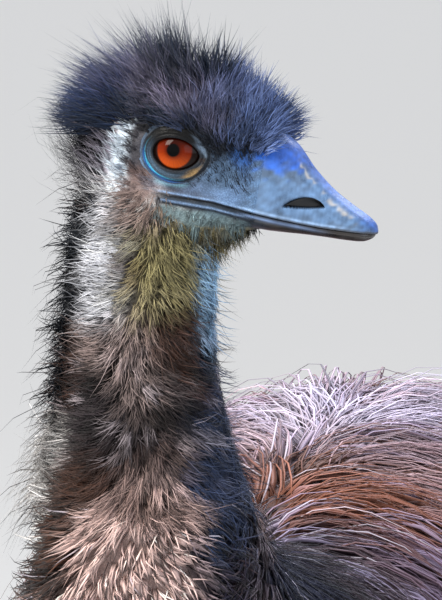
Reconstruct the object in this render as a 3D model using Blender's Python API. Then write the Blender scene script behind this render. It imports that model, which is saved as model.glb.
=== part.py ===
"""A life-size emu, standing with its neck drawn back and its head turned to its own left.

Metres, +Z up. The body faces -Y, the bill points along +X, and the soles stand on z = 0.
The bird is built as closed solids, one object for each named part. A part is a loft: rings of
points set along a line, with their sizes read from a few named stations. Neighbours keep a gap.
"""

import math
import random

import bmesh
import bpy
from mathutils import Matrix, Vector
from mathutils.bvhtree import BVHTree

GAP = 0.0003
# A small step along or round a line, from which its direction is found.
NEAR = 0.004
# The seeds of the random draws, by the part that the locks are on.
SEEDS = {"head": 6, "thigh": 6, "wing": 6, "neck_upper": 6, "neck_lower": 6, "torso": 14, "tail": 4}

# Stations of the body line, from the tail forward and up the neck: y, z, half width and half
# depth of the core that the coat stands on, and how far the line lies to the left of the middle.
BODY_STATIONS = (
    (0.440, 0.778, 0.026, 0.026, 0.000),
    (0.370, 0.824, 0.074, 0.068, 0.000),
    (0.270, 0.862, 0.132, 0.128, 0.000),
    (0.130, 0.886, 0.182, 0.182, 0.000),
    (-0.020, 0.886, 0.192, 0.187, 0.000),
    (-0.160, 0.890, 0.174, 0.172, 0.000),
    (-0.270, 0.920, 0.138, 0.136, 0.000),
    (-0.345, 0.975, 0.102, 0.103, -0.003),
    (-0.388, 1.040, 0.070, 0.071, -0.006),
    (-0.402, 1.110, 0.050, 0.051, -0.008),
    (-0.402, 1.180, 0.037, 0.038, -0.010),
    (-0.398, 1.250, 0.031, 0.035, -0.009),
    (-0.396, 1.290, 0.026, 0.028, -0.004),
)
# Where the line is parted, as a share of its length from the tail tip to the skull.
TAIL_END = 0.155
TORSO_END = 0.640
TORSO_RINGS, TORSO_SIDES = 15, 28
NECK_MIDDLE = 0.815
NECK_TOP = 0.985
# The neck turns about its own line between these shares, until the nape faces away from the bill.
TWIST_FROM = 0.700
TWIST_TO = 0.880
NECK_TWIST = math.radians(88)
# How far the tips of the coat stand off the core, at shares of the body line.
COAT_DEPTHS = ((0.0, 0.032), (0.5, 0.028), (0.72, 0.018), (0.86, 0.011), (1.0, 0.007))

# The way that loose feathers fall: outward, back and down, as shares of their length.
FALL_OUT, FALL_BACK = 0.12, 0.22
# A lock is laid out in this many steps along its length, and is clear of the core by this share.
LAY_STEPS = 50
ROOT_SHARE = 0.16
# A lock's rings, from its root: share of the length, of the width and of the thickness there.
LONG_LOCK = ((0.0, 0.70, 0.90), (0.16, 0.95, 1.0), (0.45, 1.0, 0.90), (0.76, 0.66, 0.55))
SHORT_LOCK = ((0.0, 0.75, 0.90), (0.26, 1.0, 1.0), (0.66, 0.78, 0.60))
# The coat's locks on each part: the first and last row as shares of the body line, the distance
# between rows and along a row, then the length, width and thickness of a lock, and its rings.
COAT_LOCKS = {
    "neck_upper": (0.977, 0.830, 0.043, 0.040, 0.060, 0.030, 0.0030, SHORT_LOCK),
    "neck_lower": (0.802, 0.664, 0.064, 0.063, 0.100, 0.050, 0.0038, SHORT_LOCK),
    "torso": (0.622, 0.175, 0.084, 0.072, 0.190, 0.067, 0.0048, LONG_LOCK),
    "tail": (0.140, 0.020, 0.076, 0.068, 0.190, 0.060, 0.0048, LONG_LOCK),
}
# The thigh's locks: rows as shares of the leg's line, then as above.
THIGH_LOCKS = (0.190, 0.320, 0.085, 0.066, 0.120, 0.056, 0.0045, SHORT_LOCK)
# Under the belly, behind this share of the line, every other lock is left out.
BELLY_FRONT = 0.48
BELLY_SIDE = 2.1
ROOT_SINK = 0.009
LOCK_CLEAR = 0.0006
# The height above the core at which a lock leaves its root.
LOCK_CLEARANCE = 0.0045
# Each lock is rolled a little about its own length, so that neighbours lie over one another.
LOCK_ROLL = math.radians(9)
# What is tried in turn until a lock is clear of the other parts: a share of its length, and how
# far its root moves down the body line.
LOCK_TRIES = (
    (1.0, 0.0), (0.82, 0.0), (1.0, 0.012), (0.74, 0.012), (0.6, 0.0), (0.8, 0.024), (0.5, 0.012),
)

# The small wings lie on the flanks, between these shares of the body line.
WING_SHOULDER = 0.590
WING_TIP = 0.395
WING_ANGLE = 78.0
WING_DROP = 16.0
WING_HALF = 0.0095
WING_DEEP = 2.4
# How many locks stand on each wing, and the length, width and thickness of one.
WING_LOCKS = 5
WING_LOCK = (0.120, 0.050, 0.0055)

# The head's own frame has its origin between the eyes, x to the bill's tip and z up.
HEAD_CENTRE = Vector((0.014, -0.398, 1.300))
HEAD_PITCH = math.radians(8.2)
# x, top, bottom, half width, height of the widest place. The top is the core of the crest.
HEAD_STATIONS = (
    (-0.050, 0.008, -0.016, 0.010, -0.004),
    (-0.044, 0.025, -0.040, 0.020, -0.006),
    (-0.032, 0.036, -0.058, 0.027, -0.006),
    (-0.016, 0.041, -0.064, 0.031, -0.005),
    (0.000, 0.042, -0.061, 0.0325, -0.004),
    (0.016, 0.039, -0.052, 0.031, -0.009),
    (0.032, 0.034, -0.043, 0.028, -0.015),
    (0.043, 0.027, -0.0390, 0.0255, -0.019),
    (0.048, 0.0200, -0.0374, 0.0245, -0.020),
)
# x, culmen, mouth line, chin, half width
BILL_STATIONS = (
    (0.048, 0.0180, -0.0268, -0.0374, 0.0245),
    (0.060, 0.0095, -0.0280, -0.0366, 0.0212),
    (0.070, -0.0010, -0.0288, -0.0359, 0.0182),
    (0.082, -0.0104, -0.0293, -0.0354, 0.0152),
    (0.094, -0.0170, -0.0293, -0.0352, 0.0122),
    (0.103, -0.0216, -0.0290, -0.0344, 0.0092),
    (0.1085, -0.0258, -0.0286, -0.0318, 0.0046),
)
# The crest's tufts: rows of x on the head, how many stand across each, their length and how far
# their tips lean forward.
CREST_ROWS = (
    (-0.047, 3, 0.027, -0.020),
    (-0.036, 4, 0.028, -0.017),
    (-0.022, 4, 0.026, -0.010),
    (-0.008, 4, 0.023, -0.003),
    (0.006, 4, 0.022, 0.004),
    (0.020, 4, 0.024, 0.011),
    (0.034, 4, 0.025, 0.019),
)
CREST_WIDTH = 0.024
CREST_STAGGER = 0.006
CREST_THICKNESS = 0.0036
CREST_HALF_SPREAD = math.radians(66)
GAPE_CORNER = (-0.007, -0.0235)
MOUTH_GROOVE = 0.0007
EAR_PLACE = (-0.027, -0.016)
EAR_SIZE = (0.009, 0.007, 0.006)
EYE_RADIUS = 0.0165
EYE_OFFSET = 0.0187
LID_OPENING = (0.0126, 0.0106)
LID_THICKNESS = 0.0021
NOSTRIL_PLACE = (0.070, -0.0196)
NOSTRIL_SIZE = (0.022, 0.020, 0.0070)

# The legs: y, z and half thickness down each leg's line; x is the half distance between them.
LEG_SPREAD = 0.098
LEG_LEAN = 0.026
LEG_STATIONS = (
    (-0.006, 0.800, 0.070),
    (0.020, 0.690, 0.066),
    (0.050, 0.590, 0.047),
    (0.078, 0.500, 0.028),
    (0.096, 0.440, 0.024),
    (0.094, 0.405, 0.0245),
    (0.082, 0.350, 0.0175),
    (0.066, 0.240, 0.0150),
    (0.052, 0.130, 0.0160),
    (0.042, 0.062, 0.0205),
)
LEG_LENGTH = 0.75
THIGH_END = 0.395
SHANK_END = 0.573
STRIDE = 0.030
FOOT_HALF = 0.026
# Each toe: degrees outward from straight ahead, length, half width and height at its root.
TOES = {
    "inner": (-36.0, 0.056, 0.0130, 0.029),
    "middle": (0.0, 0.094, 0.0160, 0.033),
    "outer": (36.0, 0.060, 0.0130, 0.029),
}
TOE_ROOT = 0.050
CLAW_LENGTH = 0.026


def smooth_between(table, share):
    """The row of numbers at a share of the table's length, on a smooth curve through its rows."""
    steps = [0.0]
    for low, high in zip(table, table[1:]):
        steps.append(steps[-1] + math.hypot(high[0] - low[0], high[1] - low[1]))
    place = min(max(share, 0.0), 1.0) * steps[-1]
    index = min(max(i for i, s in enumerate(steps) if s <= place), len(table) - 2)
    span = steps[index + 1] - steps[index]
    t = (place - steps[index]) / span

    def slope(i, column):
        before, after = max(i - 1, 0), min(i + 1, len(table) - 1)
        return (table[after][column] - table[before][column]) / (steps[after] - steps[before])

    row = []
    for column in range(len(table[0])):
        a, b = table[index][column], table[index + 1][column]
        u, v = slope(index, column) * span, slope(index + 1, column) * span
        row.append(
            a * (2 * t**3 - 3 * t**2 + 1) + u * (t**3 - 2 * t**2 + t)
            + b * (3 * t**2 - 2 * t**3) + v * (t**3 - t**2)
        )
    return row


def ease(value, low, high):
    """0 below low, 1 above high, and smooth between."""
    t = min(max((value - low) / (high - low), 0.0), 1.0)
    return t * t * (3 - 2 * t)


def body_frame(share):
    """Centre, side, dorsal and forward directions, half width and half depth on the body line."""
    y, z, half_width, half_depth, aside = smooth_between(BODY_STATIONS, share)
    ahead = smooth_between(BODY_STATIONS, min(share + NEAR, 1.0))
    behind = smooth_between(BODY_STATIONS, max(share - NEAR, 0.0))
    forward = Vector((0.0, ahead[0] - behind[0], ahead[1] - behind[1])).normalized()
    turn = Matrix.Rotation(NECK_TWIST * ease(share, TWIST_FROM, TWIST_TO), 3, forward)
    side = turn @ Vector((1.0, 0.0, 0.0))
    dorsal = forward.cross(side)
    return Vector((aside, y, z)), side, dorsal, forward, half_width, half_depth


def body_point(share, angle, grow=0.0):
    """A point of the body's surface. Angle 0 is the dorsal line, and positive is the left side."""
    centre, side, dorsal, _, half_width, half_depth = body_frame(share)
    return (
        centre
        + side * (half_width + grow) * math.sin(angle)
        + dorsal * (half_depth + grow) * math.cos(angle)
    )


def body_ring(share, sides, grow=0.0):
    return [body_point(share, math.tau * i / sides, grow) for i in range(sides)]


def coat_depth(share):
    """How far the coat's tips stand off the core at a share of the body line."""
    for (low, a), (high, b) in zip(COAT_DEPTHS, COAT_DEPTHS[1:]):
        if share <= high:
            return a + (b - a) * (share - low) / (high - low)
    return COAT_DEPTHS[-1][1]


def head_to_world(point):
    """A point of the head's own frame, placed on the bird."""
    return HEAD_CENTRE + Matrix.Rotation(HEAD_PITCH, 3, "Y") @ Vector(point)


def closed_arc(half_width, top, bottom, middle, power, sides):
    """A ring of (across, up) points: a rounded box that is widest at the height of middle."""
    ring = []
    for i in range(sides):
        angle = math.tau * i / sides
        across, up = math.sin(angle), math.cos(angle)
        reach = top - middle if up > 0 else middle - bottom
        ring.append((
            half_width * math.copysign(abs(across) ** (2 / power), across),
            middle + reach * math.copysign(abs(up) ** (2 / power), up),
        ))
    return ring


def material(name, colour, roughness, metallic=0.0):
    """A plain principled finish in the part's colour."""
    made = bpy.data.materials.get(name) or bpy.data.materials.new(name)
    made.use_nodes = True
    shader = made.node_tree.nodes["Principled BSDF"]
    shader.inputs["Base Color"].default_value = (*colour, 1.0)
    shader.inputs["Roughness"].default_value = roughness
    shader.inputs["Metallic"].default_value = metallic
    made.diffuse_color = (*colour, 1.0)
    return made


def finishes():
    return {
        "coat": material("brown_coat", (0.16, 0.10, 0.07), 0.75),
        "hackle": material("black_hackle", (0.035, 0.032, 0.04), 0.7),
        "bill": material("blue_grey_bill", (0.13, 0.20, 0.33), 0.4),
        "eye": material("orange_eye", (0.60, 0.12, 0.01), 0.05),
        "scales": material("grey_scales", (0.11, 0.10, 0.09), 0.55),
        "claw": material("dark_claw", (0.03, 0.03, 0.03), 0.35),
    }


def placed(mesh, name, finish):
    """A new object that holds the bmesh, with its faces pointing out."""
    bmesh.ops.recalc_face_normals(mesh, faces=mesh.faces)
    data = bpy.data.meshes.new(name)
    mesh.to_mesh(data)
    mesh.free()
    made = bpy.data.objects.new(name, data)
    bpy.context.scene.collection.objects.link(made)
    if finish:
        data.materials.append(finish)
    return made


def loft_mesh(rings):
    """A closed skin over rings of points. An end of one point is a tip, any other gets a cap."""
    mesh = bmesh.new()
    loops = [[mesh.verts.new(p) for p in ring] for ring in rings]
    for low, high in zip(loops, loops[1:]):
        count = max(len(low), len(high))
        for i in range(count):
            j = (i + 1) % count
            if len(low) == 1:
                mesh.faces.new((low[0], high[j], high[i]))
            elif len(high) == 1:
                mesh.faces.new((low[i], low[j], high[0]))
            else:
                mesh.faces.new((low[i], low[j], high[j], high[i]))
    for end in (loops[0], loops[-1]):
        if len(end) > 2:
            mesh.faces.new(end)
    return mesh


def loft(rings, name, finish):
    return placed(loft_mesh(rings), name, finish)


def keep_largest(obj):
    """Drops every closed surface of the mesh but the one that encloses the most."""
    mesh = bmesh.new()
    mesh.from_mesh(obj.data)
    left, shells = set(mesh.faces), []
    while left:
        shell, edge_of = set(), [left.pop()]
        while edge_of:
            face = edge_of.pop()
            shell.add(face)
            near = {f for e in face.edges for f in e.link_faces} & left
            left -= near
            edge_of.extend(near)
        shells.append(shell)

    def volume(shell):
        total = 0.0
        for face in shell:
            origin = face.verts[0].co
            for low, high in zip(face.verts[1:], face.verts[2:]):
                total += origin.dot(low.co.cross(high.co)) / 6
        return abs(total)

    largest = max(shells, key=volume)
    bmesh.ops.delete(mesh, geom=[f for f in mesh.faces if f not in largest], context="FACES")
    loose = [v for v in mesh.verts if not v.link_faces]
    bmesh.ops.delete(mesh, geom=loose, context="VERTS")
    mesh.to_mesh(obj.data)
    mesh.free()


def apply_boolean(obj, operation, pieces, solver="EXACT"):
    """Joins or cuts the object with closed pieces, which are then removed."""
    group = bpy.data.collections.new("pieces")
    bpy.context.scene.collection.children.link(group)
    for piece in pieces:
        bpy.context.scene.collection.objects.unlink(piece)
        group.objects.link(piece)
    modifier = obj.modifiers.new("join", "BOOLEAN")
    modifier.operation = operation
    modifier.operand_type = "COLLECTION"
    modifier.collection = group
    modifier.solver = solver
    graph = bpy.context.evaluated_depsgraph_get()
    graph.update()
    whole = bpy.data.meshes.new_from_object(obj.evaluated_get(graph))
    obj.modifiers.clear()
    materials = list(obj.data.materials)
    obj.data = whole
    whole.materials.clear()
    for finish in materials:
        whole.materials.append(finish)
    for piece in pieces:
        bpy.data.objects.remove(piece)
    bpy.data.collections.remove(group)
    keep_largest(obj)


def lock_mesh(stations):
    """A flat, tapered lock: a ridge over a flat underside, run along its stations to a point."""
    rings = []
    for place, across, out, half_width, thickness in stations:
        rings.append([
            place - across * half_width,
            place + across * half_width,
            place + out * thickness,
        ])
    rings.append([stations[-1][0] + (stations[-1][0] - stations[-2][0]) * 0.85])
    return loft(rings, "lock", None)


def lean(share, angle):
    """Radians by which a feather turns from the way to the tail, away from the dorsal line."""
    off = abs(angle)
    rump = math.radians(18 + 46 * ease(share, 0.10, 0.62))
    body = rump * (1 - ease(off, 1.7, 2.6)) - 0.35 * ease(off, 2.2, 2.9) * ease(share, 0.55, 0.66)
    nape = -math.radians(70) * (1 - ease(off, 0.9, 1.9)) * ease(off, 0.0, 0.5)
    throat = math.radians(34) * ease(off, 1.3, 2.0) * (1 - ease(off, 2.6, 3.1))
    neck = ease(share, 0.68, 0.86)
    return (1 - neck) * body + neck * (nape + throat)


def hang(share, angle):
    """How far a feather rooted here leaves the body to hang straight down."""
    off = abs(angle)
    flank = ease(off, 1.1, 1.8) * (1 - ease(off, 2.2, 2.6)) * (1 - ease(share, 0.50, 0.60))
    return max(flank, 0.85 * (1 - ease(share, 0.05, 0.22)) * ease(off, 0.2, 1.2))


def body_lock(share, angle, size, turn, rings, base=0.0, sink=ROOT_SINK):
    """The stations of one lock that follows the lie of the coat from its root on the body.

    The size is its length, width and thickness. A base above 0 roots it that far off the core.
    """
    length, width, thickness = size
    side = 1 if math.sin(angle) >= 0 else -1
    drop = hang(share, angle)
    height = coat_depth(share)
    stations, place_share, place_angle, place_t = [], share, angle, 0
    root = body_point(share, angle)
    away = Vector((FALL_OUT * side, FALL_BACK, -1.0)) * length
    step = length / LAY_STEPS
    for t, broad, thick in rings:
        while place_t < round(t * LAY_STEPS):
            off = math.atan2(math.sin(place_angle), math.cos(place_angle))
            way = lean(place_share, off) + turn
            here = body_point(place_share, place_angle)
            along = (body_point(place_share + NEAR, place_angle) - here).length / NEAR
            around = (body_point(place_share, place_angle + NEAR) - here).length / NEAR
            place_share = max(place_share - step * math.cos(way) / along, 0.0)
            place_angle += side * step * math.sin(way) / around
            place_t += 1
        here = body_point(place_share, place_angle)
        out = (body_point(place_share, place_angle, 0.01) - here).normalized()
        grown = min(t / ROOT_SHARE, 1)
        lift = base - sink * (1 - grown) + LOCK_CLEARANCE * grown + (height - LOCK_CLEARANCE) * t
        place = here + out * lift
        fall = root + out * lift + away * t
        place = place.lerp(fall, drop * ease(t, 0.0, 1.0))
        stations.append([place, None, out, width / 2 * broad, thickness * thick])
    return with_across(stations, -side * math.copysign(LOCK_ROLL, lean(share, angle)))


def with_across(stations, roll=0.0):
    """Gives each station its sideways direction, square to the way the lock runs."""
    for k, station in enumerate(stations):
        low, high = max(k - 1, 0), min(k + 1, len(stations) - 1)
        onward = (stations[high][0] - stations[low][0]).normalized()
        turn = Matrix.Rotation(roll * k / len(stations), 3, onward)
        station[1] = turn @ onward.cross(station[2]).normalized()
        station[2] = station[1].cross(onward).normalized()
    return stations


def inside(point, tree):
    """Whether a point lies within the closed surface that a search tree holds."""
    onward = Vector((0.13, 0.27, 0.95)).normalized()
    crossings = 0
    hit = tree.ray_cast(point, onward)[0]
    while hit is not None:
        crossings += 1
        hit = tree.ray_cast(hit + onward * 1e-5, onward)[0]
    return crossings % 2 == 1


def clear_of(stations, others):
    """Whether a lock, made a little thicker, crosses none of the other parts."""
    fat = [
        (place - out * LOCK_CLEAR, across, out, half_width + LOCK_CLEAR, thickness + 2 * LOCK_CLEAR)
        for place, across, out, half_width, thickness in stations
    ]
    if any(inside(stations[1][0], other) for other in others):
        return False
    test = lock_mesh(fat)
    tree = surface_tree(test)
    bpy.data.objects.remove(test)
    return not any(tree.overlap(other) for other in others)


def surface_tree(obj):
    """A search tree over the triangles of an object."""
    obj.data.calc_loop_triangles()
    return BVHTree.FromPolygons(
        [v.co for v in obj.data.vertices], [t.vertices for t in obj.data.loop_triangles]
    )


def fuse_locks(part, makers, parts):
    """Joins to a part each of its locks that, whole or shortened, is clear of the other parts."""
    near = [surface_tree(other) for other in parts.values() if other is not part]
    pieces = []
    for maker in makers:
        for part_length, shift in LOCK_TRIES:
            stations = maker(part_length, shift)
            if clear_of(stations, near):
                pieces.append(lock_mesh(stations))
                break
    apply_boolean(part, "UNION", pieces, "MANIFOLD")


def line_length():
    """The length of the body line."""
    return sum(
        math.hypot(b[0] - a[0], b[1] - a[1]) for a, b in zip(BODY_STATIONS, BODY_STATIONS[1:])
    )


def coat_makers(name, draw):
    """For each lock of a part of the body, a function of its length's share that lays it out."""
    first, last, row_step, spacing, length, width, thickness, rings = COAT_LOCKS[name]
    line = line_length()
    rows = round((first - last) * line / row_step) + 1
    makers = []
    for row in range(rows):
        share = first + (last - first) * row / (rows - 1)
        _, _, _, _, half_width, half_depth = body_frame(share)
        girth = math.pi * (half_width + half_depth)
        count = max(6, round(girth / spacing))
        for i in range(count):
            angle = math.tau * (i + 0.5 * (row % 2)) / count + draw.uniform(-0.06, 0.06)
            angle = math.atan2(math.sin(angle), math.cos(angle))
            if name == "torso" and share < BELLY_FRONT and abs(angle) > BELLY_SIDE and i % 2:
                continue
            place = share + draw.uniform(-0.18, 0.18) * row_step / line
            long = length * draw.uniform(0.88, 1.12)
            broad = width * draw.uniform(0.9, 1.1)
            turn = draw.uniform(-0.12, 0.12)

            def maker(part, shift, place=place, angle=angle, long=long, broad=broad, turn=turn):
                size = (long * part, broad * (0.6 + 0.4 * part), thickness)
                return body_lock(max(place - shift, 0.005), angle, size, turn, rings)

            makers.append(maker)
    return makers


def wing_makers(side, draw):
    """The locks of one wing, in a row along it."""
    long, width, thickness = WING_LOCK
    makers = []
    for i in range(WING_LOCKS):
        t = 0.10 + 0.85 * i / WING_LOCKS
        share = WING_SHOULDER + (WING_TIP - WING_SHOULDER) * t
        angle = side * math.radians(WING_ANGLE + WING_DROP * t + 2)
        size = (long * draw.uniform(0.9, 1.1), width, thickness)
        turn = draw.uniform(-0.1, 0.1)

        def maker(part, shift, share=share, angle=angle, size=size, turn=turn):
            smaller = (size[0] * part, size[1], size[2])
            base = WING_HALF * 0.9
            return body_lock(share - 0.3 * shift, angle, smaller, turn, SHORT_LOCK, base, base / 2)

        makers.append(maker)
    return makers


def thigh_makers(side, step, draw):
    """The locks of one thigh, which hang down from its upper part."""
    first, last, row_step, spacing, length, width, thickness, rings = THIGH_LOCKS
    makers = []
    rows = round((last - first) * LEG_LENGTH / row_step) + 1
    for row in range(rows):
        share = first + (last - first) * row / (rows - 1)
        _, half, _ = leg_frame(share, side, step)
        count = max(5, round(math.tau * half * 1.1 / spacing))
        for i in range(count):
            angle = math.tau * (i + 0.5 * (row % 2)) / count + draw.uniform(-0.1, 0.1)
            long = length * draw.uniform(0.9, 1.1)

            def maker(part, shift, share=share, angle=angle, long=long):
                stations = []
                for t, broad, thick in rings:
                    place = share + shift + long * part * t / LEG_LENGTH
                    here = leg_point(place, angle, side, step)
                    out = (leg_point(place, angle, side, step, 0.01) - here).normalized()
                    grown = min(t / ROOT_SHARE, 1)
                    lift = -0.8 * ROOT_SINK * (1 - grown) + 0.002 * grown + 0.014 * t
                    half_width = width / 2 * broad * (0.6 + 0.4 * part)
                    stations.append([here + out * lift, None, out, half_width, thickness * thick])
                return with_across(stations, LOCK_ROLL)

            makers.append(maker)
    return makers


def crest_makers(draw):
    """The tufts of the crest, which stand up from the crown and lean out over the bill."""
    start, end = HEAD_STATIONS[0][0], HEAD_STATIONS[-1][0]
    makers = []
    for x, count, length, forward in CREST_ROWS:
        for i in range(count):
            angle = CREST_HALF_SPREAD * ((i + 0.5) / count * 2 - 1) + draw.uniform(-0.08, 0.08)
            long = length * draw.uniform(0.85, 1.15)
            drift = draw.uniform(-0.003, 0.003)
            share = (x + CREST_STAGGER * (i % 2) - start) / (end - start)

            def maker(part, _, share=share, angle=angle, long=long, lean=forward + drift):
                root, out = head_surface(share, angle)
                stations = []
                for t, broad, thick in SHORT_LOCK:
                    grown = min(t / 0.26, 1)
                    rise = -0.005 * (1 - grown) + long * part * 0.8 * t * (1 - 0.2 * t)
                    bend = Vector((lean * part, 0.0, 0.0)) * t ** 1.4
                    stations.append([
                        head_to_world(root + out * rise + bend), None,
                        turned(Vector((-1.0, 0.0, 0.3))),
                        CREST_WIDTH / 2 * broad, CREST_THICKNESS * thick,
                    ])
                return with_across(stations)

            makers.append(maker)
    return makers


def make_trunk(skins):
    """The tail, torso and two lengths of neck, parted across the body line."""
    slit = GAP / line_length() / 2
    parts = (
        ("tail", 0.0, TAIL_END - slit, 7, 18, "coat"),
        ("torso", TAIL_END + slit, TORSO_END - slit, TORSO_RINGS, TORSO_SIDES, "coat"),
        ("neck_lower", TORSO_END + slit, NECK_MIDDLE - slit, 8, 22, "hackle"),
        ("neck_upper", NECK_MIDDLE + slit, NECK_TOP, 8, 18, "hackle"),
    )
    made = {}
    for name, start, end, count, sides, finish in parts:
        shares = [start + (end - start) * i / (count - 1) for i in range(count)]
        rings = [body_ring(s, sides) for s in shares]
        made[name] = loft(rings, name, skins[finish])
    return made


def head_rings(grow=0.0, sides=24, count=18):
    """Rings of the head from its back to the bill's root, in the bird's place."""
    rings = []
    for i in range(count):
        x, top, bottom, half_width, middle = smooth_between(HEAD_STATIONS, i / (count - 1))
        section = closed_arc(half_width + grow, top + grow, bottom - grow, middle, 2.15, sides)
        rings.append([head_to_world((x, -across, up)) for across, up in section])
    return rings


def turned(direction):
    """A direction of the head's own frame, turned into the bird's."""
    return Matrix.Rotation(HEAD_PITCH, 3, "Y") @ direction


def head_surface(share, angle):
    """A point of the head's skin and the way out of it. Angle 0 is the top, positive the left."""
    x = HEAD_STATIONS[0][0] + (HEAD_STATIONS[-1][0] - HEAD_STATIONS[0][0]) * share
    top, bottom, half_width, middle = head_section(x)
    reach = top - middle if math.cos(angle) > 0 else middle - bottom
    root = Vector((x, half_width * math.sin(angle), middle + reach * math.cos(angle)))
    return root, Vector((0.0, math.sin(angle) / half_width, math.cos(angle) / reach)).normalized()


def head_section(x):
    """Top, bottom, half width and middle of the head across its own x."""
    low = max((row for row in HEAD_STATIONS if row[0] <= x), key=lambda row: row[0])
    high = min((row for row in HEAD_STATIONS if row[0] > x), key=lambda row: row[0])
    t = (x - low[0]) / (high[0] - low[0])
    return [a + (b - a) * t for a, b in zip(low[1:], high[1:])]


def head_half_width(x, z):
    """The half width of the head's side at a height in its own frame."""
    top, bottom, half_width, middle = head_section(x)
    reach = top - middle if z > middle else middle - bottom
    return half_width * (1 - (abs(z - middle) / reach) ** 2.15) ** (1 / 2.15)


def lid_ring(side):
    """A closed roll of skin round the opening of one eye."""
    mesh = bmesh.new()
    around, across = 16, 5
    loops = []
    for i in range(around):
        angle = math.tau * i / around
        out = Vector((math.cos(angle), 0, math.sin(angle)))
        middle = Vector((out.x * LID_OPENING[0], 0, out.z * LID_OPENING[1]))
        loop = []
        for j in range(across):
            turn = math.tau * j / across
            point = middle + out * math.cos(turn) * LID_THICKNESS
            point.y = side * (EYE_OFFSET + 0.0122 + math.sin(turn) * LID_THICKNESS)
            loop.append(mesh.verts.new(head_to_world(point)))
        loops.append(loop)
    for i in range(around):
        low, high = loops[i], loops[(i + 1) % around]
        for j in range(across):
            k = (j + 1) % across
            mesh.faces.new((low[j], low[k], high[k], high[j]))
    return placed(mesh, "lid", None)


def mouth_groove(side):
    """A thin wedge that runs along the cheek from the corner of the gape to the bill."""
    rings = []
    for i in range(7):
        t = i / 6
        x = GAPE_CORNER[0] + (HEAD_STATIONS[-1][0] - GAPE_CORNER[0] - 1e-6) * t
        z = GAPE_CORNER[1] + (BILL_STATIONS[0][2] - GAPE_CORNER[1]) * t
        wall = head_half_width(x, z)
        thick = MOUTH_GROOVE * (0.4 + 0.6 * t)
        x += 0.004 * ease(t, 0.9, 1.0)
        rings.append([
            head_to_world((x, side * (wall - 0.0018), z)),
            head_to_world((x, side * (wall + 0.004), z + 2 * thick)),
            head_to_world((x, side * (wall + 0.004), z - 2 * thick)),
        ])
    return loft(rings, "mouth_groove", None)


def ellipsoid(name, size, place, segments=12, rings=6):
    """A closed ellipsoid of the given length, width and height in the head's own frame."""
    mesh = bmesh.new()
    bmesh.ops.create_uvsphere(mesh, u_segments=segments, v_segments=rings, radius=0.5)
    bmesh.ops.scale(mesh, verts=mesh.verts, vec=size)
    bmesh.ops.translate(mesh, verts=mesh.verts, vec=place)
    for vert in mesh.verts:
        vert.co = head_to_world(vert.co)
    return placed(mesh, name, None)


def make_head(skins):
    """The skull with its cheeks and throat, the lids, the ears and the line of the mouth."""
    head = loft(head_rings(), "head", skins["hackle"])
    for side in (-1, 1):
        apply_boolean(head, "UNION", [lid_ring(side)])
        wall = head_half_width(*EAR_PLACE)
        ear = ellipsoid("ear", EAR_SIZE, (EAR_PLACE[0], side * wall, EAR_PLACE[1]), 10, 5)
        apply_boolean(head, "DIFFERENCE", [mouth_groove(side), ear])
    return head


def make_bill(skins):
    """The upper and the lower bill, each with a flat face along the mouth."""
    upper, lower = [], []
    count, sides = 11, 14
    for i in range(count):
        x, culmen, mouth, chin, half_width = smooth_between(BILL_STATIONS, i / (count - 1))
        x += GAP
        roof, floor = [], []
        for j in range(sides + 1):
            angle = math.pi * j / sides
            across, up = math.cos(angle), math.sin(angle)
            roof.append((
                half_width * math.copysign(abs(across) ** 0.95, across),
                mouth + GAP / 2 + (culmen - mouth) * abs(up) ** 1.15,
            ))
        for j in range(9):
            angle = math.pi * j / 8
            across, down = math.cos(angle), math.sin(angle)
            floor.append((
                0.96 * half_width * across,
                mouth - GAP / 2 - (mouth - chin) * abs(down) ** 0.8,
            ))
        upper.append([head_to_world((x, -a, u)) for a, u in roof])
        lower.append([head_to_world((x - 0.0012 * i / count, -a, u)) for a, u in floor])
    return {
        "bill_upper": loft(upper, "bill_upper", skins["bill"]),
        "bill_lower": loft(lower, "bill_lower", skins["bill"]),
    }


def sphere(name, centre, radius, finish, segments=12, rings=8):
    mesh = bmesh.new()
    bmesh.ops.create_uvsphere(mesh, u_segments=segments, v_segments=rings, radius=radius)
    bmesh.ops.rotate(mesh, verts=mesh.verts, matrix=Matrix.Rotation(math.pi / 2, 3, "X"))
    bmesh.ops.translate(mesh, verts=mesh.verts, vec=centre)
    return placed(mesh, name, finish)


def make_eyes(skins, head):
    """The eyeballs, each in a socket cut a gap wider."""
    eyes = {}
    for name, side in (("eye_left", 1), ("eye_right", -1)):
        centre = head_to_world((0.0, side * EYE_OFFSET, 0.0))
        socket = sphere("socket", centre, EYE_RADIUS + 2 * GAP, None)
        apply_boolean(head, "DIFFERENCE", [socket])
        eyes[name] = sphere(name, centre, EYE_RADIUS, skins["eye"])
    return eyes


def nostrils(bill):
    """Two long nostrils sunk into the sides of the upper bill."""
    for side in (-1, 1):
        place = (NOSTRIL_PLACE[0], side * 0.0165, NOSTRIL_PLACE[1])
        apply_boolean(bill, "DIFFERENCE", [ellipsoid("nostril", NOSTRIL_SIZE, place, 12, 6)])


def leg_frame(share, side, step):
    """Centre, half thickness and direction at a share of a leg's line, from the top down."""
    y, z, half = smooth_between(LEG_STATIONS, share)
    ahead = smooth_between(LEG_STATIONS, min(share + NEAR, 1.0))
    behind = smooth_between(LEG_STATIONS, max(share - NEAR, 0.0))
    down = Vector((0.0, ahead[0] - behind[0], ahead[1] - behind[1])).normalized()
    slide = step * ease(share, 0.0, 1.0)
    spread = LEG_SPREAD - LEG_LEAN * (1.0 - ease(share, 0.0, 0.5))
    return Vector((side * spread, y + slide, z)), half, down


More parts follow.
